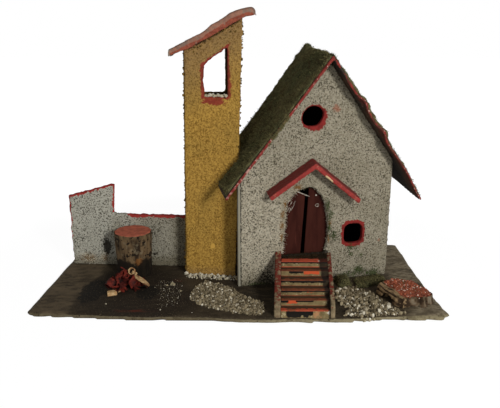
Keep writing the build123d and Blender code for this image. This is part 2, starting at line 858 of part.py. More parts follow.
with BuildPart() as moss_by_stairs:
    clump_u = (clump_left - house_corner.X) / along.X + stair_clump_width / 2
    clump_v = -stair_clump_depth / 2 - clump_gap
    clump_centre = house_point(clump_u - wall_slope * clump_v, clump_v)
    stair_clump = clump_outline(clump_centre, stair_clump_width, stair_clump_depth)
    extrude(stair_clump, amount=clump_height, taper=clump_taper)
with BuildPart() as moss_by_wall:
    clump_u = clump_u + stair_clump_width + wall_clump_width / 2
    clump_v = -wall_clump_depth / 2 - clump_gap
    wall_clump = clump_outline(house_point(clump_u, clump_v), wall_clump_width, wall_clump_depth)
    extrude(wall_clump, amount=clump_height / 2, taper=clump_taper)

pieces = {
    "base_board": base_board,
    "house_front_wall": house_front_wall,
    "house_back_wall": house_back_wall,
    "house_left_wall": house_left_wall,
    "house_right_wall": house_right_wall,
    "roof_card": roof_card_sheet,
    "roof_moss_left": roof_moss_left,
    "roof_moss_right": roof_moss_right,
    "door_left_leaf": door_left_leaf,
    "door_right_leaf": door_right_leaf,
    "door_canopy": door_canopy,
    "stair_flight": stair_flight,
    "stair_left_stringer": stair_left_stringer,
    "stair_right_stringer": stair_right_stringer,
    "tower_front_wall": tower_front_wall,
    "tower_back_wall": tower_back_wall,
    "tower_left_wall": tower_left_wall,
    "tower_right_wall": tower_right_wall,
    "tower_roof": tower_roof,
    "garden_wall": garden_wall,
    "log_stump": log_stump,
    "fire_shavings": fire_shavings,
    "shaving_ring": shaving_ring,
    "shaving_curl": shaving_curl,
    "wood_chip": wood_chip,
    "gravel_path": gravel_path,
    "gravel_patch": gravel_patch,
    "tower_crumbs": tower_crumbs,
    "bark_slab": bark_slab,
    "bark_grit": bark_grit,
    "moss_by_stairs": moss_by_stairs,
    "moss_by_wall": moss_by_wall,
}
for name, piece in pieces.items():
    piece.part.label = name
    export_step(piece.part, f"parts/{name}.step")
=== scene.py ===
import math

import bmesh
import bpy
import numpy as np
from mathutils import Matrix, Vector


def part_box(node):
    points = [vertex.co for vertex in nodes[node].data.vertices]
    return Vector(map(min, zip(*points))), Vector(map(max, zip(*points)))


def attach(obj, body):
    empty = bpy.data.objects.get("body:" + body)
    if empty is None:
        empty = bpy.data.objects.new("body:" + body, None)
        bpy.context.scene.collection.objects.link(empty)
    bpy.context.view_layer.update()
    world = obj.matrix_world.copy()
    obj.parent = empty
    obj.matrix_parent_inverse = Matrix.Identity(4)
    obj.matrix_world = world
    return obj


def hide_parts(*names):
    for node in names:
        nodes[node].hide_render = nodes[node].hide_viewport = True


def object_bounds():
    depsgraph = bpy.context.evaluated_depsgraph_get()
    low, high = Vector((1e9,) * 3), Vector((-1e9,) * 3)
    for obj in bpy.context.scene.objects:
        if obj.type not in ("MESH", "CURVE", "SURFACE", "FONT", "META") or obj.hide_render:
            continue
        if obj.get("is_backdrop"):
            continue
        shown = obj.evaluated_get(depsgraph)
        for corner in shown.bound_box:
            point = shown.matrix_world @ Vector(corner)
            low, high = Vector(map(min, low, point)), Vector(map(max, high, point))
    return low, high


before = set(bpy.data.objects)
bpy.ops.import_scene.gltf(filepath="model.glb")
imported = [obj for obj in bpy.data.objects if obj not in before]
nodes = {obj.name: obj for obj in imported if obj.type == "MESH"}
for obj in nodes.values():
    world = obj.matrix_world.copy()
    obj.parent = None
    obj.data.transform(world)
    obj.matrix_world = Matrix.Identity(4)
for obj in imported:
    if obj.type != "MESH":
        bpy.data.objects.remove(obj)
packed_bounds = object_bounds()


# Board
# Thick card under everything, painted dark brown-grey, with a black scorched patch round the fire.
# Its cut edge is bare khaki card, frayed and chipped. The other pieces are glued onto it.
mm = 0.001
board_top = 5.0


def loose_copy(node, voxel=None):
    """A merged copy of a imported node's mesh, cut into small even faces where a voxel size is given."""
    mesh = nodes[node].data.copy()
    mesh.materials.clear()
    work = bmesh.new()
    work.from_mesh(mesh)
    bmesh.ops.remove_doubles(work, verts=work.verts, dist=1e-6)
    work.to_mesh(mesh)
    work.free()
    if voxel:
        holder = bpy.data.objects.new("holder", mesh)
        bpy.context.scene.collection.objects.link(holder)
        even = holder.modifiers.new("even", "REMESH")
        even.mode = "VOXEL"
        even.voxel_size = voxel * mm
        mesh = bpy.data.meshes.new_from_object(holder.evaluated_get(bpy.context.evaluated_depsgraph_get()))
        bpy.data.objects.remove(holder)
    return mesh


def corners(mesh):
    """The mesh's points in millimetres."""
    flat = np.zeros(len(mesh.vertices) * 3)
    mesh.vertices.foreach_get("co", flat)
    return flat.reshape(-1, 3) / mm


def facing(mesh):
    """The mesh's normal at each point."""
    flat = np.zeros(len(mesh.vertices) * 3)
    mesh.vertices.foreach_get("normal", flat)
    return flat.reshape(-1, 3)


def move_corners(mesh, points):
    """Puts the mesh's points at new places, given in millimetres."""
    mesh.vertices.foreach_set("co", (points * mm).ravel())
    mesh.update()


def opened(node, voxel):
    """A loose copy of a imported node, with its points in millimetres and its normals."""
    mesh = loose_copy(node, voxel)
    return mesh, corners(mesh), facing(mesh)


def mark(mesh, name, values):
    """Keeps a number at each point of the mesh, for its paint to read."""
    kept = mesh.attributes.new(name, "FLOAT", "POINT")
    kept.data.foreach_set("value", np.asarray(values, np.float32))


def lumps(points, size, seed=0):
    """Smooth lumps of about one size in millimetres, from -1 to 1."""
    place = np.asarray(points) / np.asarray(size, float) + seed * 17.31 + 400
    cell = np.floor(place).astype(np.int64)
    part = place - cell
    part = part * part * (3 - 2 * part)
    primes = np.array([73856093, 19349663, 83492791])
    total = np.zeros(len(place))
    for end in range(8):
        step = np.array([end & 1, end >> 1 & 1, end >> 2 & 1])
        key = (cell + step) @ primes & 0x7FFFFFFF
        key = (key ^ key >> 13) * 1274126177 & 0x7FFFFFFF
        value = ((key ^ key >> 16) & 0xFFFFF) / 0x7FFFF - 1
        total += np.prod(np.where(step, part, 1 - part), axis=1) * value
    return total


def fade(value, low, high):
    """0 below low, 1 above high and smooth between them."""
    part = np.clip((value - low) / (high - low), 0, 1)
    return part * part * (3 - 2 * part)


def piece(name, mesh, material, slot, *stands_for, smooth=True):
    """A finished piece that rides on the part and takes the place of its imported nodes."""
    mesh.materials.append(material)
    mesh.shade_smooth() if smooth else mesh.shade_flat()
    made = bpy.data.objects.new(name, mesh)
    bpy.context.scene.collection.objects.link(made)
    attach(made, "root")
    if stands_for:
        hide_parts(*stands_for)
    return made


def shade(colour):
    """A colour written as it looks, in hexadecimal, as the numbers that a shader takes."""
    parts = [int(colour[at:at + 2], 16) / 255 for at in (0, 2, 4)]
    return [part / 12.92 if part <= 0.04045 else ((part + 0.055) / 1.055) ** 2.4 for part in parts] + [1]


def put(tree, kind, sockets=(), **settings):
    """A shader node with its settings, and its sockets given a value or a link."""
    made = tree.nodes.new("ShaderNode" + kind)
    for key, value in settings.items():
        setattr(made, key, value)
    for key, value in dict(sockets).items():
        if isinstance(value, bpy.types.NodeSocket):
            tree.links.new(value, made.inputs[key])
        else:
            made.inputs[key].default_value = value
    return made


def noise(tree, size, detail=2.0, stretch=(1, 1, 1), rough=0.5):
    """Noise of about one size in millimetres, fixed to the piece."""
    place = put(tree, "TexCoord").outputs["Object"]
    if tuple(stretch) != (1, 1, 1):
        place = put(tree, "Mapping", {"Vector": place, "Scale": stretch}).outputs["Vector"]
    sockets = {"Vector": place, "Scale": 1 / (size * mm), "Detail": detail, "Roughness": rough}
    return put(tree, "TexNoise", sockets).outputs["Fac"]


def kept(tree, name):
    """A number kept at the points of the mesh."""
    return put(tree, "Attribute", attribute_name=name).outputs["Fac"]


def sums(tree, kind, first, second=0.5):
    """Arithmetic on two values."""
    return put(tree, "Math", {0: first, 1: second}, operation=kind).outputs[0]


def ramp(tree, value, low, high):
    """A mask from 0 at low to 1 at high, smooth between them."""
    sockets = {"Value": value, "From Min": low, "From Max": high}
    return put(tree, "MapRange", sockets, interpolation_type="SMOOTHSTEP").outputs["Result"]


def over(tree, mask, below, above, most=None):
    """One colour laid over another where the mask says, or by a share of that."""
    if most is not None:
        mask = sums(tree, "MULTIPLY", mask, most)
    below, above = (shade(colour) if isinstance(colour, str) else colour for colour in (below, above))
    return put(tree, "Mix", {0: mask, 6: below, 7: above}, data_type="RGBA").outputs[2]


def flecked(tree, below, above, low, high, size, detail, *shape, most=None):
    """One colour laid over another in clouds or flecks of about one size in millimetres."""
    return over(tree, ramp(tree, noise(tree, size, detail, *shape), low, high), below, above, most)


def frayed(tree, name, rough, share, low, high):
    """A mask from a kept number with a share of noise added to it."""
    return ramp(tree, sums(tree, "ADD", kept(tree, name), sums(tree, "MULTIPLY", rough, share)), low, high)


def paint(name, roughness=0.85, shine=0.25):
    """A new material, with its tree and its shader."""
    material = bpy.data.materials.new(name)
    material.use_nodes = True
    tree = material.node_tree
    shader = tree.nodes["Principled BSDF"]
    shader.inputs["Roughness"].default_value = roughness
    shader.inputs["Specular IOR Level"].default_value = shine
    return material, tree, shader


def bump(tree, height, depth):
    """A normal from a height, with its depth in millimetres."""
    return put(tree, "Bump", {"Height": height, "Distance": depth * mm}).outputs["Normal"]


def coat(tree, shader, colour, depth=None, *texture):
    """Lays the finished colour on the shader, with a fine roughness of some depth in millimetres."""
    tree.links.new(colour, shader.inputs["Base Color"])
    if depth:
        tree.links.new(bump(tree, noise(tree, *texture), depth), shader.inputs["Normal"])


def patch_at(points, place, reach):
    """1 at a place, fading to 0 at its reach."""
    return 1 - fade(np.linalg.norm((points - np.array(place)) / np.array(reach), axis=1), 0, 1)
def patches(flat, *rows):
    """The strongest of some soft patches, each with its middle, its reach and its strength."""
    return np.maximum.reduce([most * patch_at(flat, (a, b), (wide, tall)) for a, b, wide, tall, most in rows])


def daubed(tree, name, colour, daub, size=2.5, low=0.3, high=0.5, swing=1.2, most=1.0):
    """Paint laid on where a kept number, roughened with noise, is high enough."""
    rough = put(tree, "Math", {0: noise(tree, size, 3), 1: swing, 2: -swing / 2}, operation="MULTIPLY_ADD")
    mask = ramp(tree, sums(tree, "ADD", kept(tree, name), rough.outputs[0]), low, high)
    return over(tree, mask, colour, daub, most)


board, at, out = opened("base_board", 2.0)
x, y, z = at.T
side = 1 - fade(np.abs(out[:, 2]), 0.35, 0.75)
in_front = out[:, 1] < -0.3
fray = lumps(at, 9, 1) + 0.6 * lumps(at, 3.5, 2)
spread = 0.35 + 2.6 * fade(-x, 120, 200) + 2.6 * fade(x - 0.8 * y, 240, 268)
spread -= 4.4 * fade(x, 150, 180) * (1 - fade(np.abs(y + 15), 20, 85))
spread += in_front * (1.3 * fade(x, -25, 0) + 1.5 * fade(-np.abs(x - 20), -30, -14)
                      + 2.4 * fade(-np.abs(x - 92), -36, -20))
at[:, :2] += out[:, :2] * (side * (0.5 * fray + spread))[:, None]
y += 2.0 * fade(-np.abs(x + 47), -36, -22) * (1 - fade(y, -97, -75))
drawn_in = 0.8 + 1.6 * (1 - fade(np.abs(y + 5), 20, 80))
x -= drawn_in * fade(x, 150, 190) * fade(y, -94, -78)
z += (1 - side) * (out[:, 2] > 0) * (0.22 * lumps(at, 13, 3) + 0.12 * lumps(at, 4, 4))
flap = fade(x, 148, 168) * (1 - fade(x, 192, 198)) * in_front * (1 - fade(z, 1.4, 2.6))
y -= 3.6 * flap
move_corners(board, at)
plan = at[:, :2]
fire_x, fire_y = -112, -38
bare_left = fade(-x + 0.138 * y + 4 * lumps(at, 14, 6), 149, 158)
arc = np.hypot(x - fire_x, y - fire_y)
swept = np.stack([arc * 2.2, 9 * np.arctan2(y - fire_y, x - fire_x), 0 * arc], 1)
arc_streak = fade(lumps(swept, 6, 5), 0.1, 0.8) * fade(-arc, -64, -40)
scorch = np.clip(0.55 + patches(plan, (fire_x, fire_y, 66, 78, 1), (-88, -62, 60, 46, 1)), 0, 1)
mark(board, "scorch", scorch * (1 - bare_left) + 0.45 * bare_left * arc_streak)
# Black blots beside the fire: part black paint, part the fire's painted shadow.
mark(board, "black_blots_and_shadow", (1 - side) * patches(plan, (-150, -40, 23, 48, 1), (-93, -43, 19, 30, 1)))
mark(board, "edge", side)
mark(board, "grime", 0.6 - 0.6 * fade(x, -40, 60))
mark(board, "pale", np.maximum(fade(x + 0.25 * y, 100, 135), bare_left))
mark(board, "bright", fade(x + 0.12 * y + 5 * lumps(at, 12, 7), 146, 172))
mark(board, "smear", patches(plan, (-101, -84, 30, 5, 1), (-62, -14, 16, 8, 0.5)))
# Dark patches in front of the house and left of the bark: part dark paint, part painted shade.
mark(board, "dark_paint_and_shade", patches(plan, (20, -45, 90, 75, 1), (108, -70, 30, 34, 1)))
board_paint, tree, shader = paint("board_paint", 0.85, 0.1)
colour = flecked(tree, "40372a", "4a4030", 0.35, 0.65, 24, 5)
colour = over(tree, kept(tree, "pale"), colour, "5a4e3d", ramp(tree, noise(tree, 30, 4), 0.15, 0.6))
colour = over(tree, kept(tree, "bright"), colour, "ab9c80", ramp(tree, noise(tree, 20, 4), 0.2, 0.6))
# Darker patches, part dark paint and part painted shade.
colour = over(tree, kept(tree, "dark_paint_and_shade"), colour, "29251d", 0.85)
colour = flecked(tree, colour, "2f271c", 0.5, 0.64, 11, 5, (0.6, 1, 1), 0.65, most=0.6)
brush = noise(tree, 6, 5, (0.4, 1, 1), 0.65)
colour = over(tree, ramp(tree, brush, 0.5, 0.62), colour, "6b5d48", 0.5)
colour = over(tree, ramp(tree, brush, 0.48, 0.38), colour, "2a231a", 0.6)
colour = over(tree, frayed(tree, "scorch", brush, 0.6, 0.62, 1.15), colour, "1f1913", 0.85)
# Black blots beside the fire, part paint and part painted shadow.
colour = daubed(tree, "black_blots_and_shadow", colour, "12100c", 8.0, 0.3, 0.5, 0.9, 0.9)
colour = over(tree, kept(tree, "smear"), colour, "52261b", ramp(tree, brush, 0.44, 0.64))
colour = flecked(tree, colour, "5a4f3e", 0.6, 0.7, 1.3, 3)
colour = flecked(tree, colour, "17140f", 0.66, 0.76, 2.2, 3)
khaki = flecked(tree, "8b8064", "655b44", 0.4, 0.7, 6, 5)
khaki = over(tree, kept(tree, "grime"), khaki, "463c2c")
khaki = flecked(tree, khaki, "2a241a", 0.66, 0.72, 3, 3)
worn = frayed(tree, "edge", noise(tree, 4, 4), 0.6, 0.7, 0.95)
coat(tree, shader, over(tree, worn, colour, khaki), 0.35, 1.6, 5)
piece("board", board, board_paint, "board", "base_board")


# House walls
# Thick card with a grainy grey-white render of paper pulp, glued up as a box; the inside faces are painted
# near black, as painted shade.
# Red paint rings the two windows, and moss and lichen cling round the door and at the foot.
def directions(degrees):
    """Along a wall that is turned about the upright, and square into it."""
    turn = math.radians(degrees)
    return np.array([math.cos(turn), math.sin(turn), 0]), np.array([-math.sin(turn), math.cos(turn), 0])


corner = np.array([-1.3, -28.8, board_top])
along, inward = directions(12)
ridge_across, ridge_up, steepness = 89.6, 235.3, 1.28
door_middle = 70


def house_places(points):
    """The points as seen on the house: across its front, into it and up from the board."""
    gap = points - corner
    return np.stack([gap @ along, gap @ inward, gap[:, 2]], axis=1)


def grit(points, seed=0):
    """The height of a grainy render: lumps with grains that stand out of it, in millimetres."""
    grains = fade(lumps(points, 1.9, seed + 11), 0.25, 0.75)
    return 0.3 * lumps(points, 2.6, seed) + 0.2 * lumps(points, 1.3, seed + 5) + 0.45 * grains - 0.3


def box_depth(across, up, left, right, low, high, round_off):
    """How deep a point lies inside a rounded box, negative outside it."""
    dx = np.abs(across - (left + right) / 2) - (right - left) / 2 + round_off
    dz = np.abs(up - (low + high) / 2) - (high - low) / 2 + round_off
    outside = np.hypot(np.maximum(dx, 0), np.maximum(dz, 0))
    return round_off - outside - np.minimum(np.maximum(dx, dz), 0)


def shared(name, **kinds):
    """A new node group that puts out values of given kinds, and its output node."""
    group = bpy.data.node_groups.new(name, "ShaderNodeTree")
    for label, kind in kinds.items():
        group.interface.new_socket(label, in_out="OUTPUT", socket_type="NodeSocket" + kind)
    return group, group.nodes.new("NodeGroupOutput")


grain, ends = shared("grain", Specks="Float", Mottle="Float", Stain="Float", Normal="Vector")
pits = sums(grain, "ADD", noise(grain, 1.35, 1), sums(grain, "MULTIPLY", noise(grain, 16, 3), 0.2))
grain.links.new(ramp(grain, pits, 0.62, 0.74), ends.inputs["Specks"])
grain.links.new(ramp(grain, noise(grain, 2.2, 3), 0.36, 0.68), ends.inputs["Mottle"])
grain.links.new(ramp(grain, noise(grain, 45, 4), 0.4, 0.75), ends.inputs["Stain"])
grain.links.new(bump(grain, noise(grain, 1.1, 4), 0.4), ends.inputs["Normal"])


def grainy(tree, shader):
    """The shared grain of the render, with its normal laid on the shader."""
    made = put(tree, "Group", node_tree=grain)
    tree.links.new(made.outputs["Normal"], shader.inputs["Normal"])
    return made.outputs


white_render, tree, shader = paint("white_render", 0.95, 0.12)
grains = grainy(tree, shader)
colour = over(tree, grains["Mottle"], "b1a995", "8f8774")
colour = over(tree, grains["Stain"], colour, "877f69", 0.45)
# A cooler, lighter tint, on the render and on its red trim: part colour and part painted light.
colour = over(tree, kept(tree, "cool"), colour, "b4b8b0", 0.4)
# Dirt and painted shade: this mark darkens the render for grime, and also for shade and shadow painted onto
# the walls.
colour = over(tree, kept(tree, "dirt"), colour, "5e5846", 0.8)
colour = over(tree, grains["Specks"], colour, "393327", 0.85)
red = flecked(tree, "842b27", "64221e", 0.4, 0.7, 5, 3)
red = over(tree, kept(tree, "cool"), red, "9a352f")
# Daubs of colour; the black one is black paint and, on the house front, also painted shade along the landing
# and beside the stairs.
for name, daub, *how in (
    ("soot", "231f19", 1.8, 0.35, 0.7, 1.8, 0.9), ("green", "333e1c", 0.9, 0.5, 0.9, 3.0, 0.85),
    ("lichen", "6e4c20", 0.9, 0.45, 0.85, 3.0, 0.9), ("rust", "8f5038", 3.0, 0.4, 0.9, 1.4, 0.6),
    ("trim", red, 2.6, -0.35, 0.15, 4.5), ("cut", "8d8877", 1.5, 0.3, 0.6),
    ("crack", "38342c", 2.5, 0.5, 0.7, 1.6),
):
    colour = daubed(tree, name, colour, daub, *how)
# The inside faces are painted near black: painted shade for the dark inside of the house.
colour = over(tree, kept(tree, "inside"), colour, "0d0b09")
coat(tree, shader, colour)


def render_marks(mesh, trim, **marks):
    """Keeps the numbers that the white render reads; those not given are nought."""
    mark(mesh, "trim", np.clip(trim, -9, 4))
    for label in ("inside", "green", "lichen", "rust", "soot", "dirt", "cut", "crack", "cool"):
        mark(mesh, label, marks.get(label, np.zeros(len(trim))))


def house_wall(name, voxel, seed):
    """One wall of the house, rough with render, its marks kept for the paint."""
    mesh = loose_copy(name, voxel)
    points = corners(mesh)
    spot = house_places(points)
    across, deep, up = spot.T
    is_front = "front" in name
    card = deep < 7
    ring = 13.5 - np.hypot(across - 77.5, up - 173.8) + 0.8 * fade(174 - up, 4, 12)
    frame_red = box_depth(across, up, 110.4, 135.8, 36.0, 65.2, 7.0)
    trim = np.where(card, np.maximum(ring, frame_red), -9)
    # The inside faces, which the render paints near black as shade.
    indoors = (fade(deep, 5.0, 5.8) * (1 - fade(deep, 68.5, 69.0)) * fade(across, 12.5, 13.5)
               * (1 - fade(across, 157.4, 158)))
    cut = (1 - fade(across, 2.0, 2.4)) * card * is_front
    rough = grit(points, seed) * (1 - 0.75 * fade(trim, -0.5, 0.5)) * (1 - 0.6 * indoors) * (1 - 0.8 * cut)
    points += facing(mesh) * rough[:, None]
    beside, above = across - 123.3, up - 50.3
    wider = 1.2 * np.sign(beside) * (1 - fade(np.abs(beside), 8, 13)) * (1 - fade(np.abs(above), 9, 14))
    points += np.outer(wider * (np.abs(beside) > 5) * card, along)
    hub = np.stack([across - 76.5, up - 174.4], 1)
    reach = np.maximum(np.hypot(*hub.T), 1)
    lower_right = fade(hub @ (0.5, -0.87) / reach, -0.1, 0.9)
    closed = -3.0 * lower_right * (1 - fade(np.abs(reach - 11.5), 1.5, 6)) / reach
    wall_plane = np.array([along, (0, 0, 1)])
    points += (hub * (closed * card)[:, None]) @ wall_plane
    pane = np.stack([beside / 9, above / 10.75], 1)
    rounder = -1.1 * fade(np.abs(pane).sum(1), 1.4, 1.95) * (1 - fade(np.abs(pane).max(1), 1.05, 1.5)) * card
    points += (np.sign(pane) * rounder[:, None]) @ wall_plane
    move_corners(mesh, points)
    front = deep < 3
    flat = spot[:, [0, 2]]
    green = patches(
        flat, (120.5, 35.3, 6, 5, 1), (122, 27.2, 6, 5, 1), (133.3, 25.7, 6, 5, 1), (94, 82, 5, 9, 1),
        (98, 72.5, 6, 9, 1), (96.4, 58.4, 6, 9, 1), (102.2, 50.2, 6, 9, 1), (147, 3.2, 14, 7, 1),
        (131, 9, 10, 9, 1), (2, 18, 4, 14, 1), (20, 1, 22, 5, 1))
    lichen = patches(
        flat, (49.7, 86.4, 5, 9, 1), (46.7, 75.9, 5, 9, 1), (45.8, 64.1, 5, 9, 1), (46, 52, 5, 9, 1),
        (62, 104, 10, 6, 1), (97, 64, 5, 8, 0.8), (96, 46, 5, 8, 0.8))
    under_eave = 0.616 * (ridge_up - steepness * (across - ridge_across) - up)
    # Dirt and painted shade: darker at the foot, on the walls behind the front, above the door and towards
    # the upper right, with the right eave's shadow painted in below it.
    dirt = np.maximum.reduce([
        0.75 * (1 - fade(up + 3 * lumps(points, 9, 7), 2, 16)), 0.5 * fade(deep, 2, 8),
        0.45 * patch_at(flat, (70, 118), (34, 13)), 0.4 * fade(across + 0.5 * up, 60, 130),
        0.6 * (1 - fade(under_eave, 8, 24)) * (across > 85),
    ])
    rust = patches(flat, (99.4, 183.4, 9, 8, 1), (40, 106.9, 8, 7, 0.7), (152.8, 40.8, 4, 4, 1))
    crack = (1 - fade(np.abs(across - 2.7), 0.3, 0.8)) * is_front
    # Black paint and painted shade: a black band along the landing under the door, and dark patches at the
    # foot beside the stairs.
    sill = (np.abs(across - door_middle) < 26) & (np.abs(up - 29.5) < 4.5)
    soot = np.maximum(sill, patches(flat, (30, 4, 20, 30, 0.75), (12, 2, 16, 9, 0.6), (108, 2, 16, 10, 0.5)))
    render_marks(mesh, trim, inside=indoors, green=front * green, lichen=front * lichen, rust=front * rust,
                 soot=soot * card * is_front, dirt=dirt, cut=cut, crack=front * crack)
    piece(name.replace("house", "rendered"), mesh, white_render, "white_render", name)
    return mesh


front_wall = house_wall("house_front_wall", 1.1, 1)
house_wall("house_back_wall", 2.2, 2)
house_wall("house_left_wall", 1.7, 3)
house_wall("house_right_wall", 1.7, 4)


# Roof card
# One card folded at the ridge and glued on the walls, its underside bare and dark, with a lighter reddish
# patch under the right front edge that is part red paint and part painted light.
# The front edges are painted red, chipped to pale card, and the right one is bent out of true.
def uneven(points, out, *layers):
    """How far lumps push points out of their surface; each layer has a height, a size and a seed."""
    return out * sum(height * lumps(points, size, seed) for height, size, seed in layers)[:, None]


def warp(points):
    """How far the roof is bent out of true: wavy at the right front edge, with its corner drooping."""
    spot = house_places(points)
    across, deep, _ = spot.T
    front = 1 - fade(deep, -15.3, -9)
    flat = spot[:, [0, 2]]
    knocks = patch_at(flat, (122, 190), (13, 12)) + patch_at(flat, (144.5, 161), (13, 12))
    wave = front * fade(across, 95, 105) * (0.6 * lumps(points, 16, 21) + 2.8 * knocks)
    droop = fade(across, 168, 192) * (1 - fade(deep, -12, 60))
    return np.outer(wave - 0.9 * droop, along) + np.outer(0.5 * wave - 3.2 * droop, (0, 0, 1))


worn_paint, ends = shared("worn_paint", Chips="Float", Wear="Float")
spots = sums(worn_paint, "MULTIPLY", noise(worn_paint, 11, 2), 0.5)
spots = sums(worn_paint, "ADD", noise(worn_paint, 2.4, 4), spots)
worn_paint.links.new(ramp(worn_paint, spots, 0.86, 0.92), ends.inputs["Chips"])
worn_paint.links.new(ramp(worn_paint, noise(worn_paint, 4, 5), 0.35, 0.7), ends.inputs["Wear"])
roof = loose_copy("roof_card", 1.4)
at = corners(roof)
across, deep, up = house_places(at).T
at += warp(at)
at += uneven(at, facing(roof), (0.15, 5, 22), (0.1, 2, 23))
move_corners(roof, at)
left_half = across < ridge_across
slope_share = np.where(left_half, (ridge_across - across) / 105.3, (across - ridge_across) / 101.4)
margin = np.where(left_half, 1.0 + 1.8 * (1 - fade(slope_share, 0.05, 0.35)), 0.1 + 0.9 * lumps(at, 6, 25))
mark(roof, "front", -16.3 + margin - deep)
mark(roof, "drab", ~left_half * fade(slope_share, 0.06, 0.15))
mark(roof, "chipped", 0.36 * left_half * fade(slope_share, 0.5, 0.65))
# A lighter reddish patch on the underside under the right front edge: part red paint, part painted light.
mark(roof, "glow", fade(across, 95, 110) * (1 - fade(deep, -16, -3)))
roof_paint, tree, shader = paint("roof_paint", 0.85, 0.15)
worn = put(tree, "Group", node_tree=worn_paint).outputs
bare = flecked(tree, "3b332a", "2a241f", 0.35, 0.7, 7, 4)
bare = flecked(tree, bare, "493729", 0.45, 0.65, 30, 3)
# The lighter reddish underside patch, part red paint and part painted light.
bare = daubed(tree, "glow", bare, "5a2d24", 5.0, 0.5, 1.0, 1.6, 0.8)
red = over(tree, worn["Wear"], "8b362f", "6e2c26")
red = daubed(tree, "drab", red, "5a3a2c", 3.5, 0.95, 1.15, 1.8, 0.85)
pale = frayed(tree, "chipped", noise(tree, 3.5, 4), 1.0, 0.85, 1.05)
red = over(tree, sums(tree, "MAXIMUM", worn["Chips"], pale), red, "bd9184")
colour = daubed(tree, "front", bare, red, 3.0, -0.3, 0.2, 2.4)
coat(tree, shader, colour, 0.3, 1.5, 4)
piece("folded_roof", roof, roof_paint, "roof_board", "roof_card")
ragged = lumps(at, 5, 24)
halfway = np.abs(slope_share - 0.5) < 0.09 + 0.03 * ragged
on_top = up - ridge_up + steepness * (ridge_across - across) > 0.6
front_edge = left_half & (deep < -15.2) & (halfway | ((ragged > 0.35) & on_top))


# Roof moss
# Fine dried moss glued over both slopes: a lumpy mat with thousands of short stems standing out of it.
# It hangs a little over the edges of the card.
def taken(work, name):
    """The mesh made in a bmesh, which is then freed."""
    mesh = bpy.data.meshes.new(name)
    work.to_mesh(mesh)
    work.free()
    return mesh


def blank(maker, **sizes):
    """A small mesh made by one bmesh operator."""
    work = bmesh.new()
    maker(work, **sizes)
    return taken(work, "blank")


def scattered(mesh, count, chance, keep=None):
    """Places spread over a mesh by area, with its normals there, in millimetres."""
    points, normals = corners(mesh), facing(mesh)
    mesh.calc_loop_triangles()
    three = np.zeros(len(mesh.loop_triangles) * 3, np.int64)
    mesh.loop_triangles.foreach_get("vertices", three)
    three = three.reshape(-1, 3)
    if keep is not None:
        three = three[keep[three].all(axis=1)]
    a, b, c = points[three[:, 0]], points[three[:, 1]], points[three[:, 2]]
    area = np.linalg.norm(np.cross(b - a, c - a), axis=1)
    pick = chance.choice(len(three), count, p=area / area.sum())
    share = chance.random((count, 2))
    fold = share.sum(axis=1) > 1
    share[fold] = 1 - share[fold]
    s, t = share[:, :1], share[:, 1:]
    return a[pick] * (1 - s - t) + b[pick] * s + c[pick] * t, normals[three[pick, 0]]


def repeated(blanks, places, axes, sizes, chance):
    """One mesh with a blank at each place, its Z along an axis, turned at random; sizes in millimetres."""
    axes = axes / np.linalg.norm(axes, axis=1, keepdims=True)
    side = np.cross(axes, np.where(np.abs(axes[:, 2:]) < 0.9, (0, 0, 1), (1, 0, 0)))
    side /= np.linalg.norm(side, axis=1, keepdims=True)
    other = np.cross(axes, side)
    spin = chance.random(len(axes))[:, None] * 2 * math.pi
    across, upward = side * np.cos(spin) + other * np.sin(spin), other * np.cos(spin) - side * np.sin(spin)
    kind = chance.integers(len(blanks), size=len(axes))
    tones = chance.random(len(axes))
    points, faces, tone, start = [], [], [], 0
    for number, small in enumerate(blanks):
        some = kind == number
        base = corners(small) * mm
        local = base[None] * sizes[some][:, None]
        turned = sum(local[..., k:k + 1] * way[some][:, None] for k, way in enumerate((across, upward, axes)))
        loops = np.array([tuple(face.vertices) for face in small.polygons])
        shift = start + np.arange(some.sum()) * len(base)
        faces.append((loops[None] + shift[:, None, None]).reshape(-1, loops.shape[1]))
        points.append((places[some][:, None] + turned).reshape(-1, 3))
        tone.append(np.repeat(tones[some], len(base)))
        start += some.sum() * len(base)
    mesh = bpy.data.meshes.new("repeated")
    mesh.from_pydata(np.concatenate(points) * mm, [], np.concatenate(faces).tolist())
    mark(mesh, "tone", np.concatenate(tone))
    return mesh


def toned(tree, below, above, low, high):
    """One colour over another on some of the stems or stones, by the tone that each was given."""
    return over(tree, ramp(tree, kept(tree, "tone"), low, high), below, above)


moss_paint, tree, shader = paint("moss_paint", 1.0, 0.05)
colour = flecked(tree, "6b6443", "5e5f41", 0.35, 0.65, 26, 4)
colour = flecked(tree, colour, "5e4c34", 0.55, 0.75, 9, 3)
colour = toned(tree, colour, "8f885c", 0.3, 1.0)
colour = toned(tree, colour, "2e2a1c", 0.3, 0.0)
coat(tree, shader, colour)
stem = blank(bmesh.ops.create_cone, cap_ends=False, segments=3, radius1=1, radius2=0, depth=2)


def tufts(mesh, count, chance, long, keep=None, drift=(0, 0, 0.15), thick=0.2):
    """Short stems of moss standing out of a mesh, leaning every way."""
    spots, normals = scattered(mesh, count, chance, keep)
    lean = normals + chance.normal(0, 0.6, (count, 3)) + drift
    sizes = np.column_stack([np.full((count, 2), thick), chance.gamma(4, long / 4, count) + 0.4])
    return repeated([stem], spots, lean, sizes, chance)


def moss_bed(name, mat, points, height, seed, tone, count, *how):
    """A mat of moss raised by a height at each point, and the stems that stand out of it."""
    points += facing(mat) * height[:, None]
    move_corners(mat, points)
    mark(mat, "tone", tone + 0.25 * fade(lumps(points, 3, seed + 4), -0.5, 0.8))
    piece(name + "_mat", mat, moss_paint, "moss", name)
    piece(name + "_stems", tufts(mat, count, np.random.default_rng(seed), *how), moss_paint, "moss")


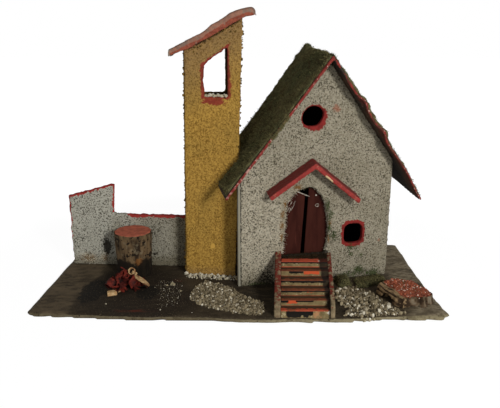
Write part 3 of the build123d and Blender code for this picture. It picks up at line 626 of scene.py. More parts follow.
for name, count, seed in (("roof_moss_left", 15000, 31), ("roof_moss_right", 13000, 32)):
    mat = loose_copy(name, 1.35)
    at = corners(mat)
    at += warp(at)
    _, deep, up = house_places(at).T
    if "left" in name:
        heap = 1.9 * fade(up, 185, 225) * fade(deep, 30, 70) - 1.3 * (1 - fade(up, 150, 185))
        heap -= 1.6 * fade(up, 222, 230) * (1 - fade(deep, 30, 70))
    else:
        heap = 1.1 * (1 - fade(deep, 0, 14)) * fade(up, 140, 170) * (1 - fade(up, 205, 225))
    height = 0.7 * lumps(at, 7, seed) + 0.7 * lumps(at, 3.2, seed + 2) - 0.1 + heap
    moss_bed(name, mat, at, height, seed, 0.15, count, 1.4)
fringe = tufts(roof, 1500, np.random.default_rng(33), 1.1, front_edge, -0.2 * inward, 0.24)
piece("roof_moss_fringe", fringe, moss_paint, "moss")


# Door leaves
# Two thin cards painted dark red-brown and glued behind the pointed opening, a black slit between them.
# The paint is scratched white near the top, with a ring and a dot; straw fibres cling round the opening.
door_paint, tree, shader = paint("door_paint", 0.9, 0.08)
colour = flecked(tree, "3d1d16", "30140f", 0.35, 0.7, 6, 4, (1, 1, 0.2))
colour = flecked(tree, colour, "45221a", 0.62, 0.74, 2.2, 3, (1, 1, 0.12))
coat(tree, shader, colour, 0.2, 1.4, 4, (1, 1, 0.3))


def eased(node, width):
    """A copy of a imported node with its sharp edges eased."""
    mesh = loose_copy(node)
    work = bmesh.new()
    work.from_mesh(mesh)
    sharp = [edge for edge in work.edges if len(edge.link_faces) == 2 and edge.calc_face_angle(0) > 0.35]
    bmesh.ops.bevel(work, geom=sharp, offset=width * mm, affect="EDGES", segments=2, profile=0.5, material=-1)
    work.to_mesh(mesh)
    work.free()
    return mesh


for side in ("left", "right"):
    leaf = f"door_{side}_leaf"
    piece(side + "_leaf", eased(leaf, 0.3), door_paint, "door_card", leaf, smooth=False)


def house_spot(across, deep, up):
    """A point of the house in the row's frame, in millimetres."""
    return corner + along * across + inward * deep + np.array([0, 0, up])


def strip(points, widths, thickness, normal):
    """A flat ribbon of paper or paint through points, standing a little out of a surface."""
    work = bmesh.new()
    points = [np.array(point) for point in points]
    rows = []
    for number, point in enumerate(points):
        ahead = points[min(number + 1, len(points) - 1)] - points[max(number - 1, 0)]
        side = np.cross(ahead, normal)
        side = side / np.linalg.norm(side) * widths[number] / 2
        rows.append([work.verts.new((point + side) * mm), work.verts.new((point - side) * mm)])
    for first, second in zip(rows, rows[1:]):
        work.faces.new((first[0], first[1], second[1], second[0]))
    bmesh.ops.solidify(work, geom=work.faces[:], thickness=thickness * mm)
    bmesh.ops.recalc_face_normals(work, faces=work.faces)
    return taken(work, "strip")


def joined(meshes):
    """Several meshes as one."""
    work = bmesh.new()
    for mesh in meshes:
        work.from_mesh(mesh)
    return taken(work, "joined")


scratch_paint, tree, shader = paint("scratch_paint", 0.8, 0.2)
colour = flecked(tree, "e6e0d2", "9c8f80", 0.4, 0.65, 2, 3)
coat(tree, shader, colour)
line = [(60.5, 98.5), (64, 97.5), (67.5, 96.0), (71, 94.4), (76, 92.2)]
ring = [(84.5 + 1.7 * math.cos(t), 82.3 + 1.5 * math.sin(t)) for t in np.linspace(0.4, 6.4, 14)]
dot = [(82.2, 93.2), (83.0, 93.2), (83.9, 93.2)]
marks = []
for spots, widths in ((line, [0.3, 1.0, 0.8, 1.1, 0.3]), (ring, [0.7] * 14), (dot, [0.8, 1.5, 0.7])):
    marks.append(strip([house_spot(a, 5.75, z) for a, z in spots], widths, 0.4, -inward))
for a, z, run, rise in ((53.2, 77.5, 2.2, 7), (55.0, 79.5, 3.4, 7), (51.8, 88.5, 3.6, 4.5),
                        (53.6, 85, 2.6, 5), (57.6, 86, 1.6, 4), (52.2, 80.5, 1.2, 4)):
    hair = [house_spot(a + run * s, 0.6 - s, z + rise * s) for s in (0, 0.5, 1)]
    marks.append(strip(hair, [0.25, 0.75, 0.2], 0.3, -inward))
piece("door_scratches", joined(marks), scratch_paint, "door_card", smooth=False)

at = corners(front_wall)
across, deep, up = house_places(at).T
round_door = (np.abs(across - door_middle) < 27) & (up > 32) & (up < 107) & (deep > -0.6) & (deep < 5)
reveal = round_door & (np.abs(facing(front_wall) @ inward) < 0.75)
straw = []
for count, seed, long, where, thick in ((480, 35, 2.6, across < 62, 0.42), (300, 39, 1.8, across > 62, 0.36)):
    chance = np.random.default_rng(seed)
    straw.append(tufts(front_wall, count, chance, long, reveal & where, -0.8 * inward, thick))
straw_paint, tree, shader = paint("straw_paint", 0.9, 0.1)
colour = toned(tree, "6d5f3c", "ddd5be", 0.1, 0.7)
coat(tree, shader, toned(tree, colour, "38401f", 0.2, 0.1))
piece("door_straw", joined(straw), straw_paint, "moss")
flat = np.stack([across, up], 1)
beside = patches(flat, (94, 84, 7, 12, 1), (96, 73, 7, 12, 1), (96, 60, 7, 12, 1), (101, 50, 7, 12, 1),
                 (120, 34, 7, 12, 1), (128, 33, 7, 12, 1))
below = patches(flat, (147, 5, 16, 8, 1), (131, 8, 16, 8, 1), (118, 4, 16, 8, 1))
green_paint, tree, shader = paint("green_paint", 0.95, 0.08)
coat(tree, shader, over(tree, kept(tree, "tone"), "1b2410", "4e5e32"))
tufted = []
for count, seed, long, where in ((420, 37, 0.9, beside), (500, 38, 1.0, below)):
    keep = (where + 0.5 * lumps(at, 2.0, 36) > 0.45) & (deep < 1)
    tufted.append(tufts(front_wall, count, np.random.default_rng(seed), long, keep, (0, 0, 0), 0.45))
piece("wall_moss", joined(tufted), green_paint, "moss")


# Door canopy
# A strip of card folded over the door and glued to the wall, drooping a little.
# It is painted red, with painted shade darkening its top faces, and bare cream card showing along the lower
# right edge.
red_paint, tree, shader = paint("red_paint", 0.7, 0.25)
worn = put(tree, "Group", node_tree=worn_paint).outputs
colour = over(tree, worn["Wear"], "93302a", "7a2721")
colour = over(tree, worn["Chips"], colour, "b98a6c", 0.25)
colour = daubed(tree, "shaded", colour, "531f1a", 4.0, 0.4, 0.9, 0.8, 0.8)
colour = daubed(tree, "bare", colour, "c9ad82", 2.2, 0.5, 0.7, 0.8)
coat(tree, shader, colour, 0.3, 2.2, 4)
canopy, at, out = opened("door_canopy", 0.8)
at += uneven(at, out, (0.25, 4, 41), (0.2, 1.7, 42))
move_corners(canopy, at)
across, deep, up = house_places(at).T
under = (134.5 - (across - 76.1) * math.tan(math.radians(39.5))) - up
mark(canopy, "bare", fade(across, 85, 87) * (1 - fade(across, 93, 96)) * fade(under, 6.0, 6.6) * (deep < -9))
mark(canopy, "shaded", fade(out[:, 2], 0.4, 0.7))
piece("red_canopy", canopy, red_paint, "red_card", "door_canopy")


# Stairs
# One strip of card folded into six steps between two stringers on edge, all glued to the house front.
# Treads are red-orange in front and brown behind; ragged black lines run under the noses of the risers.
stair, at, out = opened("stair_flight", 0.7)
left = at[:, 0]
up = at[:, 2] - board_top
foot_y, run = -94.39, 12.35
first_rise, rise = 6.2, 4.8
top_step = 5
step = np.clip(np.floor((at[:, 1] - foot_y + 0.8) / run), 0, top_step).astype(int)
below_nose = first_rise + rise * step - up
behind = (at[:, 1] - foot_y - run * step) / run
tread = fade(out[:, 2], 0.35, 0.75)
crosswise = at * (1, 0, 0)
ragged = lumps(crosswise + step[:, None] * 31, 4, 51) + 0.6 * lumps(crosswise + step[:, None] * 17, 1.6, 52)


def spans(depth, *rows):
    """1 where a step's riser is covered from one place across it to another, down to a ragged depth."""
    found = np.zeros(len(at))
    for number, first, last in rows:
        within = fade(np.minimum(left - first, last - left) + 0.7 * ragged, -0.3, 0.3)
        above = 1 - fade(below_nose - depth - 0.5 * ragged, -0.3, 0.3)
        found = np.maximum(found, (step == number) * within * above)
    return found


line = np.maximum.reduce([
    spans(1.9, (5, 38, 90), (3, 41, 86), (2, 41, 88), (1, 55, 72)),
    spans(2.6, (4, 50, 65), (3, 54, 84), (2, 41, 62), (1, 41, 48)),
    spans(4.6, (0, 45, 71)) * fade(below_nose, 0.5, 0.9),
])
stain = np.maximum(spans(3.6, (4, 65, 80), (1, 47, 57)), 0.5 * spans(3, (2, 66, 74)))
shaded = fade(left - 85.5 + 0.8 * step + 0.7 * ragged, -0.6, 0.9)
lap = (step == 0) * (1 - tread) * (1 - fade(up, 0.2, 2.6)) * (behind < 0.2)
at += uneven(at, out, (0.1, 3, 53), (0.06, 1.2, 54))
at[:, 1:] -= 3.0 * lap[:, None]
move_corners(stair, at)
mark(stair, "tread", tread)
mark(stair, "back", fade(behind + 0.12 * ragged - 0.2 * (step == top_step), 0.32, 0.56))
mark(stair, "line", line * (1 - fade(out[:, 2], 0.6, 0.9)))
mark(stair, "stain", stain)
mark(stair, "bright", fade(step, 4.4, 4.6) + 0.8 * (step == 0) + 0.35 * lumps(at, 9, 57))
mark(stair, "blush", (step == 0) * patch_at(np.stack([left, up], 1), (75, 3), (9, 5)))
mark(stair, "shaded", shaded)
mark(stair, "spot", patch_at(at, (81.5, -30, 35), (3, 3, 3)) + 0.9 * patch_at(at, (86, -95, 9), (4, 3, 4)))
stair_paint, tree, shader = paint("stair_paint", 0.85, 0.15)
worn = put(tree, "Group", node_tree=worn_paint).outputs
riser = over(tree, worn["Wear"], "83734f", "69593b")
riser = over(tree, worn["Chips"], riser, "b9aa86", 0.6)
riser = daubed(tree, "blush", riser, "b9845c", 3.0, 0.4, 1.0, 1.6, 0.7)
riser = daubed(tree, "stain", riser, "c65430", 2.0, 0.4, 0.7, 1.4)
riser = over(tree, ramp(tree, kept(tree, "line"), 0.35, 0.65), riser, "15110d")
orange = over(tree, worn["Wear"], "87492f", "633826")
orange = daubed(tree, "bright", orange, "bb5238", 4.0, 0.4, 0.8, 1.2)
orange = over(tree, worn["Chips"], orange, "6a4a35", 0.7)
orange = daubed(tree, "back", orange, "43301f", 2.4, 0.4, 0.6, 0.8)
colour = over(tree, ramp(tree, kept(tree, "tread"), 0.3, 0.6), riser, orange)
colour = daubed(tree, "spot", colour, "d6cfbf", 1.5, 0.4, 0.6, 0.8)
colour = over(tree, kept(tree, "shaded"), colour, "17110d", 0.9)
coat(tree, shader, colour, 0.25, 1.5, 4)
piece("folded_stairs", stair, stair_paint, "stair_card", "stair_flight")
landing = (step == top_step) & (behind > 0.6) & (tread > 0.4)
dirt_paint, tree, shader = paint("dirt_paint", 1.0, 0.05)
coat(tree, shader, over(tree, kept(tree, "tone"), "19130d", "463823"))
dirt = tufts(stair, 900, np.random.default_rng(58), 1.0, landing, (0, -0.1, 0.3), 0.35)
at = corners(front_wall)
sill = (np.abs(house_places(at)[:, 0] - door_middle) < 25) & (np.abs(at[:, 2] - 34.8) < 2.5)
sill_dirt = tufts(front_wall, 500, np.random.default_rng(59), 1.3, sill, (0, -0.3, 0.3), 0.35)
piece("landing_dirt", joined([dirt, sill_dirt]), dirt_paint, "moss")

stringer_paint, tree, shader = paint("stringer_paint", 0.85, 0.15)
worn = put(tree, "Group", node_tree=worn_paint).outputs
cream = flecked(tree, "8d7c5f", "63553f", 0.35, 0.7, 5, 4)
red = over(tree, worn["Wear"], "743024", "4f241c")
colour = over(tree, frayed(tree, "red", noise(tree, 3.5, 5), 1.4, 1.0, 1.15), cream, red)
# The right stringer's inner face is darkened: painted shade on the side turned from the lamp.
colour = over(tree, kept(tree, "dark"), colour, "1f1612")
coat(tree, shader, colour, 0.4, 2, 5)
for side in ("left", "right"):
    name = f"stair_{side}_stringer"
    mesh, at, out = opened(name, 0.9)
    lap = (1 - fade(at[:, 1], -94, -90)) * (1 - fade(at[:, 2], 5.5, 9))
    at += uneven(at, out, (0.2, 3, 55), (0.15, 1.3, 56))
    at += np.outer(lap, (0, -2.2, -2.6))
    at[:, 0] -= 1.6 * fade(-out[:, 0], 0.5, 0.8) * (side == "left")
    move_corners(mesh, at)
    mark(mesh, "red", 0.12 + 0.42 * fade(at[:, 2], 8, 24) - 0.1 * (out[:, 2] > 0.5))
    # The right stringer's inner face is darkened: painted shade on the side turned from the lamp.
    mark(mesh, "dark", 0.8 * fade(-out[:, 0], 0.4, 0.8) * (side == "right"))
    piece(side + "_stringer", mesh, stringer_paint, "stringer_card", name)


# Bell tower
# Four rendered cards, wider at the top, painted ochre and open behind the bell.
# A ragged red border runs round the opening, with a red daub under the sill; crumbs stand out of the edges.
tower_foot = np.array([-55.26, 4.27, board_top])
tower_along, tower_in = directions(-7)
left_height, right_height = 239.4, 269.1
left_lean, right_lean = 4.5, 8.8
ochre_render, tree, shader = paint("ochre_render", 0.95, 0.12)
grains = grainy(tree, shader)
colour = over(tree, grains["Mottle"], "b68f43", "937031")
colour = over(tree, grains["Stain"], colour, "8d7338", 0.5)
# Dirt and painted shade: darker towards the top under the slab and at the foot.
colour = over(tree, kept(tree, "dirt"), colour, "745f4b", 0.7)
colour = over(tree, grains["Specks"], colour, "54360f", 0.62)
colour = daubed(tree, "daub", colour, "c79c48", 2.5, 0.4, 0.7, 0.8)
red = flecked(tree, "872f2a", "66231f", 0.4, 0.7, 5, 3)
colour = daubed(tree, "trim", colour, red, 3.0, -0.4, 0.4, 5.0, 0.9)
# Painted shadow under the roof slab, and a dark patch at the right end of the sill.
colour = daubed(tree, "dark_paint_and_shade", colour, "2a2116", 2.0, 0.4, 0.8, 1.6, 0.85)
# The inside faces are painted dark: painted shade within the tower.
colour = over(tree, kept(tree, "inside"), colour, "1a120a")
coat(tree, shader, colour)


def tower_places(points):
    """The points as seen on the tower's front: across it, behind it and up from the board."""
    gap = points - tower_foot
    return np.stack([gap @ tower_along, gap @ tower_in, gap[:, 2]], axis=1)


def tower_spot(across, deep, up):
    """A point of the tower in the row's frame, in millimetres."""
    return tower_foot + np.outer(across, tower_along) + np.outer(deep, tower_in) + np.outer(up, (0, 0, 1))


for side, voxel, seed in (("front", 1.1, 61), ("back", 1.6, 62), ("left", 1.5, 63), ("right", 1.5, 64)):
    name = f"tower_{side}_wall"
    mesh, at, out = opened(name, voxel)
    across, deep, up = tower_places(at).T
    flat = np.stack([across, up], 1)
    right_rim = 50.8 - 1.2 * fade(up, 212, 232) - across
    border = np.minimum.reduce([across - 16.8, right_rim, up - 190.8, 228.2 + 0.574 * (across - 20.4) - up])
    daub = 1 - np.hypot((across - 30.5) / 11.5, (up - 188) / 3.2)
    trim = np.where((side == "front") & (deep < 4), np.maximum(np.clip(border, -9, 3), 3 * daub), -9)
    at += out * (grit(at, seed) * (1 - 0.6 * fade(trim, -0.5, 0.5)))[:, None]
    shift = -3.6 * (38.8 - deep) / 34.1 * (side == "left")
    if side == "front":
        around_bell = fade(up, 186, 192) * (1 - fade(up, 240, 252))
        narrower = -4.3 * around_bell * fade(across, 36, 47) * (1 - fade(across, 49.5, 56)) * (deep < 5)
        wider = -3.6 * (1 - fade(across - left_lean * up / left_height, 0, 13))
        snip = 1.2 * lumps(at, 4.5, 66) * (1 - fade(np.abs(border - 3.6), 1, 4))
        snip += 1.2 * patch_at(flat, (20.4, 228.2), (8, 8))
        at[:, 2] -= snip * fade(up, 214, 222)
        shift = narrower + (wider + snip * (1 - fade(across, 22, 27)))
    at += np.outer(shift, tower_along)
    move_corners(mesh, at)
    hidden = {"front": out @ tower_in, "back": -(out @ tower_in), "left": out[:, 0], "right": -out[:, 0]}
    under_slab = left_height + (right_height - left_height) * across / 55 - up
    # Painted shadow under the roof slab, and a dark patch at the right end of the sill.
    shadow = 1 - fade(under_slab + 1.5 * lumps(at, 4, 65), 2.0, 7.5)
    mark(mesh, "trim", trim)
    # Inside faces, painted dark as shade within the tower.
    mark(mesh, "inside", 0.9 * fade(hidden[side], 0.5, 0.9))
    # Darker towards the top under the slab and at the foot, as dirt and painted shade.
    mark(mesh, "dirt", np.maximum(0.8 * fade(-under_slab, -80, -4), 0.5 * (1 - fade(up, 0, 14))))
    mark(mesh, "daub", patch_at(flat, (26.3, 34), (5, 6)) * (deep < 3))
    mark(mesh, "dark_paint_and_shade", np.maximum(shadow, patch_at(flat, (45, 192.5), (6, 3))))
    piece(f"ochre_{side}_wall", mesh, ochre_render, "ochre_render", name)

pebble_shapes = []
for seed in range(5):
    chance = np.random.default_rng(70 + seed)
    stone = blank(bmesh.ops.create_icosphere, subdivisions=1, radius=1)
    at = corners(stone) * mm
    at *= 1 + chance.uniform(-0.28, 0.28, (len(at), 1))
    at *= chance.uniform(0.75, 1.2, 3)
    move_corners(stone, at / mm)
    pebble_shapes.append(stone)


def turned_crumbs(spots, chance, shape, scale, least):
    """Crumbs of mixed sizes, turned every way."""
    count = len(spots)
    sizes = chance.gamma(shape, scale, (count, 1)) * chance.uniform(0.7, 1.3, (count, 3)) + least
    return repeated(pebble_shapes, spots, chance.normal(0, 1, (count, 3)), sizes, chance)


chance = np.random.default_rng(75)
count, row_count = 230, 46
share = chance.random(count)
on_left = chance.random(count) < 0.5
heights = 4 + share * np.where(on_left, 232, 260)
left_edge = left_lean * heights / left_height - 4.7
across = np.where(on_left, left_edge, 50.6 + right_lean * heights / right_height)
spots = tower_spot(across, chance.uniform(-0.4, 3.5, count), heights)
row = tower_spot(np.linspace(6, 58, row_count), chance.uniform(-0.8, 0.6, row_count),
                 np.linspace(240.6, 267.5, row_count) - chance.gamma(1.5, 1.6, row_count))
crumbs = turned_crumbs(np.concatenate([spots, row]), chance, 3, 0.17, 0.22)
crumb_paint, tree, shader = paint("ochre_crumbs", 0.95, 0.1)
colour = over(tree, kept(tree, "tone"), "4c3d1d", "8a6a2c")
coat(tree, shader, flecked(tree, colour, "3a2e18", 0.4, 0.7, 1, 3))
piece("tower_edge_crumbs", crumbs, crumb_paint, "ochre_render", smooth=False)

pale_stone, tree, shader = paint("pale_stone", 0.9, 0.15)
colour = over(tree, kept(tree, "tone"), "9b8f6f", "d8d2c0")
colour = flecked(tree, colour, "857653", 0.5, 0.75, 1.6, 3)
coat(tree, shader, colour)
count = 80
across, deep = chance.uniform(20.5, 43, count), chance.uniform(0.2, 4.4, count)
spots = tower_spot(across, deep, 193.6 + chance.uniform(0, 0.6, count))
piece("sill_crumbs", turned_crumbs(spots, chance, 4, 0.22, 0.2), pale_stone, "crumbs", smooth=False)


# Tower roof
# A sloping slab of card painted faded terracotta, worn grey-brown on top, glued on the tower's top.
# Its upper end is bent down and rounded, and its lower end is frayed.
slab, at, out = opened("tower_roof", 1.0)
across, deep, up = tower_places(at).T
under = out[:, 2] < -0.7
flat = np.column_stack([across, deep, np.ones(len(at))])
plane = np.linalg.lstsq(flat[under], up[under], rcond=None)[0]
thick = up - flat @ plane
share = np.clip(thick / thick.max(), 0, 1)
near = 1 - fade(deep, 2, 18)
swell = (3.5 + 1.6 * fade(-across, 0, 12) + 3.0 * fade(across, 20, 46) - 2.4 * fade(across, 46, 60)
         - 1.6 * fade(across, 56, 66) - 6.5 * fade(across, 66, 76) + 0.9 * lumps(at * (1, 0, 0), 9, 84))
at[:, 2] += share * near * swell - (1 - near) * 5.0 * share
at[:, 2] -= 3.9 * fade(across, 60, 75) + 3.4 * share * fade(across, 68, 76)
at += np.outer(-1.4 * fade(across, 70, 75), tower_along)
low_end = out @ tower_along < -0.7
inside = across - np.polyval(np.polyfit(deep[low_end], across[low_end], 1), deep)
drawn = (9.4 * (deep - deep.min()) / np.ptp(deep) - 5.4) * (1 - fade(inside, 1, 9))
at += np.outer(drawn, tower_along + (0, 0, 0.42))
at[:, 2] += 2.6 * (1 - share) * (1 - fade(inside, 2, 16))
at[:, 2] -= fade(-across, 4, 12) * (0.2 + 0.7 * lumps(at, 4, 81))
at += uneven(at, out, (0.3, 6, 82), (0.25, 2.2, 83))
move_corners(slab, at)
mark(slab, "edge", 1 - fade(share + 0.1 * lumps(at, 6, 85), 0.35, 0.6))
mark(slab, "frayed", fade(-across, 3, 10))
slab_paint, tree, shader = paint("slab_paint", 0.9, 0.12)
worn = put(tree, "Group", node_tree=worn_paint).outputs
colour = over(tree, worn["Wear"], "9d6f5b", "866353")
colour = flecked(tree, colour, "80685b", 0.45, 0.65, 16, 4)
red = over(tree, worn["Wear"], "96503c", "7a4031")
colour = daubed(tree, "edge", colour, red, 3.0, 0.4, 0.7, 1.0)
colour = over(tree, worn["Chips"], colour, "7c7161", 0.6)
colour = daubed(tree, "frayed", colour, "8d8270", 3.0, 0.35, 0.7, 1.4, 0.8)
coat(tree, shader, colour, 0.5, 2.5, 5)
piece("tower_slab", slab, slab_paint, "terracotta_card", "tower_roof")


# Garden wall
# A stepped card with the same grey-white render, glued to the board and to the tower's side.
# Its tops, left edge and step are daubed red; dry grass and black brush marks are at its foot.
garden_start = np.array([-188.7, 31.87, board_top])
garden_along = directions(-2.7)[0]
mesh, at, out = opened("garden_wall", 1.1)
gap = at - garden_start
across, up = gap @ garden_along, gap[:, 2]
step_across, low_top = 49.7, 61.3
step_edge = step_across + 2.5 * np.clip((up - low_top) / 32.7, 0, 1)
high = across < step_edge + 0.8
top = np.where(high, 79 + 15 * across / 52.2, low_top - 1.3 * (across - step_across) / 79.3)
dabs = lumps(at * (0, 0, 1), 9, 92)
daubs = 1.5 * lumps(at, 7, 93)
trim = np.maximum.reduce([
    (up - top + np.where(high, 1.7, 2.2) + daubs + 1.2 * lumps(at, 2.5, 94)
     - 4.0 * (~high) * (1 - fade(across, 60, 68))),
    0.9 - across + 1.6 * dabs - 1.5 * (1 - fade(up, 20, 50)),
    np.where(up > 62.5, across - step_edge + 2.2 + daubs, -9),
])
at += out * (grit(at, 91) * (1 - 0.5 * fade(trim, -0.5, 0.5)))[:, None]
ragged = 0.9 * lumps(at, 3.5, 96) * fade(up - top, -5, -1)
at[:, 2] += np.where(high, 0.8, -0.8) * fade(up - top, -8, -1) + ragged
at[:, 0] += 0.9 * lumps(at, 4, 97) * (1 - fade(across, 1, 6))
move_corners(mesh, at)
flat = np.stack([across, up], 1)
soot = patches(flat, (39, 22, 8, 17, 1.3), (93.9, 14, 7, 4, 0.8), (72, 5, 30, 4, 0.6))
# Dirt and painted shade: darker round the step, at the foot and towards the tower's end.
dirt = 0.5 * patch_at(flat, (52, 40), (13, 25)) + 0.6 * (1 - fade(up, 2, 16))
dirt = np.clip(dirt + 0.45 * fade(across, 55, 85) + 0.4 * fade(across, 108, 122), 0, 1)
grass = patches(flat, (17, 8, 16, 10, 1), (36, 9, 9, 9, 1))
# Where it is not darkened, the garden wall takes the cooler, lighter tint, part colour and part painted
# light.
render_marks(mesh, trim, cool=1 - dirt, lichen=0.85 * grass, soot=soot, dirt=dirt)
grassy = (grass > 0.3) & (out[:, 1] < -0.5)
hay = tufts(mesh, 260, np.random.default_rng(95), 1.8, grassy, (0, -0.2, 0.5), 0.35)
piece("garden_straw", hay, straw_paint, "moss")
piece("rendered_garden_wall", mesh, white_render, "white_render", "garden_wall")


# Log stump
# A sawn log standing against the garden wall, with ridged bark, lichen and a dark foot.
# The sawn top is painted faded salmon-red, chipped at the rim.
stump, at, out = opened("log_stump", 0.8)
low, high = (np.array(end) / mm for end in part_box("log_stump"))
middle = (low + high) / 2
angle = np.arctan2(at[:, 1] - middle[1], at[:, 0] - middle[0])
around = np.stack([np.cos(angle) * 20, np.sin(angle) * 20, at[:, 2] * 0.22], 1)
ridges = 0.9 * lumps(around, 3.4, 101) + 0.5 * lumps(around, 1.6, 102) + 0.3 * lumps(at, 4, 103)
flat_top = fade(out[:, 2], 0.5, 0.8)
at += out * (ridges * (1 - flat_top) * 0.75 + flat_top * 0.15 * lumps(at, 5, 104))[:, None]
move_corners(stump, at)
mark(stump, "top", flat_top * fade(at[:, 2], 50, 52))
mark(stump, "ridge", ridges)
# Darker to near black towards the foot.
mark(stump, "dark_foot", 1 - fade(at[:, 2] + 5 * lumps(around, 5, 105), 16, 30))
mark(stump, "stain", patch_at(at[:, [0, 2]], (middle[0] + 9, 24), (9, 10)))
log_paint, tree, shader = paint("log_paint", 0.95, 0.12)
bark = over(tree, ramp(tree, kept(tree, "ridge"), -0.9, 0.6), "2b2016", "6a563d")
bark = flecked(tree, bark, "7d7058", 0.54, 0.68, 6, 4, most=0.5)
bark = flecked(tree, bark, "1d160f", 0.56, 0.64, 4, 3)
bark = daubed(tree, "stain", bark, "7d5128", 3.0, 0.4, 0.8, 1.2, 0.7)
bark = daubed(tree, "dark_foot", bark, "15110c", 3.0, 0.2, 0.6, 0.7, 0.95)
sawn = flecked(tree, "bb6850", "9c5643", 0.35, 0.7, 5, 4)
colour = over(tree, frayed(tree, "top", noise(tree, 3, 4), 0.5, 0.85, 1.0), bark, sawn)
coat(tree, shader, colour, 0.4, 1.2, 5)
piece("sawn_stump", stump, log_paint, "log", "log_stump")


# Camp fire
# Curled wood shavings painted red, heaped on the scorched board and glued, with a few left bare.
# A bare ring lies on the heap, a bare curl lies to its right and a bare chip in front of it.
def curl(centre, radius, width, sweep, axis, start, thickness=0.7, rise=0.0):
    """A shaving: a short edge spun about an axis through its centre, moving along it, with a thickness."""
    axis = np.array(axis, float) / np.linalg.norm(axis)
    side = np.cross(axis, (0.3, 0.5, 0.81))
    side /= np.linalg.norm(side)
    side = side * math.cos(start) + np.cross(axis, side) * math.sin(start)
    work = bmesh.new()
    first = work.verts.new((np.array(centre) + side * radius - axis * width / 2) * mm)
    last = work.verts.new((np.array(centre) + side * radius + axis * width / 2) * mm)
    edge = work.edges.new((first, last))
    steps = max(6, int(abs(sweep) * 7))
    bmesh.ops.spin(work, geom=[first, last, edge], cent=np.array(centre) * mm, axis=axis, angle=sweep,
                   steps=steps, dvec=axis * rise * mm / steps, use_merge=False, use_duplicate=False)
    bmesh.ops.recalc_face_normals(work, faces=work.faces)
    bmesh.ops.solidify(work, geom=work.faces[:], thickness=thickness * mm)
    return taken(work, "curl")


def shaving_paint(name, light, dark, char):
    """Wood drawn along its grain, darker in broad patches and charred in places."""
    material, tree, shader = paint(name, 0.75, 0.15)
    colour = flecked(tree, light, dark, 0.35, 0.7, 4, 4, (1, 1, 2.5))
    colour = flecked(tree, colour, dark, 0.5, 0.35, 9, 1)
    colour = flecked(tree, colour, char, 0.5, 0.66, 6, 3)
    coat(tree, shader, colour, 0.2, 1.2, 4, (1, 1, 3))
    return material


red_wood = shaving_paint("red_wood", "762b1f", "431610", "1b0c08")
pale_wood = shaving_paint("pale_wood", "d3b585", "b48d60", "8a5c3c")
chance = np.random.default_rng(111)
low, high = (np.array(end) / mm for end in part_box("fire_shavings"))
heap = (low + high) / 2
heap[2] = board_top
curl_count = 32
curls = []
for number in range(curl_count):
    ring = 2.4 * number
    reach = 16 * math.sqrt((number + 0.5) / curl_count)
    place = heap + (reach * math.cos(ring) - 1, 0.85 * reach * math.sin(ring) + 2, 4 + 12 * (1 - reach / 17))
    lean = chance.normal(0, 0.8, 3) + (0, 0.2, 0.1)
    curls.append(curl(place, chance.uniform(3, 6), chance.uniform(4.5, 9), chance.uniform(1.4, 4.2), lean,
                      chance.uniform(0, 6), 0.8, chance.uniform(-5, 5)))
curls.append(curl(heap + (-21, 10, -2), 14, 3.5, 0.95, (0.1, -1, 0.1), 2.6, 0.8))
curls.append(curl(heap + (16, 4, 3), 6, 3.0, 1.6, (0.1, -1, 0.3), 1.2, 0.8))
fire = joined(curls)
at = corners(fire)
at[:, 2] = np.maximum(at[:, 2], board_top + 0.1)
move_corners(fire, at)
piece("red_shavings", fire, red_wood, "red_shavings", "fire_shavings", smooth=False)
tail = [heap + spot for spot in ((8, -1, 15), (12, -2, 13.5), (16.5, -3, 11), (20.5, -3.5, 8), (24, -4, 5))]
pale = [
    curl(heap + (6, 1, 19), 3.6, 3.0, 6.2, (-0.15, -0.75, 0.5), 0.4),
    strip(tail, [3.0, 4.2, 4.6, 4.2, 2.4], 0.9, np.array([0.25, -0.75, 0.6])),
    curl(heap + (7, 8, 14), 3, 3, 4.0, (0.5, 0.4, 0.8), 1.0),
    curl(heap + (-7, -11, 5), 3.5, 2.5, 1.5, (0.8, 0.4, 0.3), 1.0),
]
piece("pale_shavings", joined(pale), pale_wood, "pale_shavings", "shaving_ring", "shaving_curl", smooth=False)
piece("bare_chip", eased("wood_chip", 0.5), pale_wood, "pale_shavings", "wood_chip", smooth=False)


# Gravel
# Fine grey gravel strewn on glue: a path from the tower to the stairs, and a patch between them and the bark.
# Paler crumbs of render and stone lie along the tower's foot.
def strewn(outline, count, chance, apart):
    """Places inside an outline on the board, none too near another."""
    outline = np.array(outline)
    found = []
    ahead = np.roll(outline, -1, axis=0)
    run, rise = (ahead - outline).T
    for place in chance.uniform(outline.min(0) - 2, outline.max(0) + 2, (count * 12, 2)):
        jog, level = chance.normal(0, 1.3), place[1] + chance.normal(0, 1.3)
        cross = (outline[:, 1] > level) != (ahead[:, 1] > level)
        with np.errstate(divide="ignore", invalid="ignore"):
            x = outline[:, 0] + (level - outline[:, 1]) * run / rise
        if (cross & (place[0] + jog < x)).sum() % 2 == 0:
            continue
        if found and np.min(np.sum((np.array(found) - place) ** 2, axis=1)) < apart**2:
            continue
        found.append(place)
        if len(found) == count:
            break
    return np.array(found)


def stones(places, size, chance):
    """Small stones of mixed sizes resting on the board."""
    count = len(places)
    sizes = chance.gamma(5, size / 5, (count, 1)) * 0.75 + 0.25 * size
    sizes = sizes * chance.uniform(0.8, 1.25, (count, 3))
    spots = np.column_stack([places, board_top + 0.45 * sizes[:, 2]])
    return repeated(pebble_shapes, spots, chance.normal(0, 0.35, (count, 3)) + (0, 0, 1), sizes, chance)


gravel_paint, tree, shader = paint("gravel_paint", 0.7, 0.3)
colour = toned(tree, "534833", "948669", 0.0, 0.75)
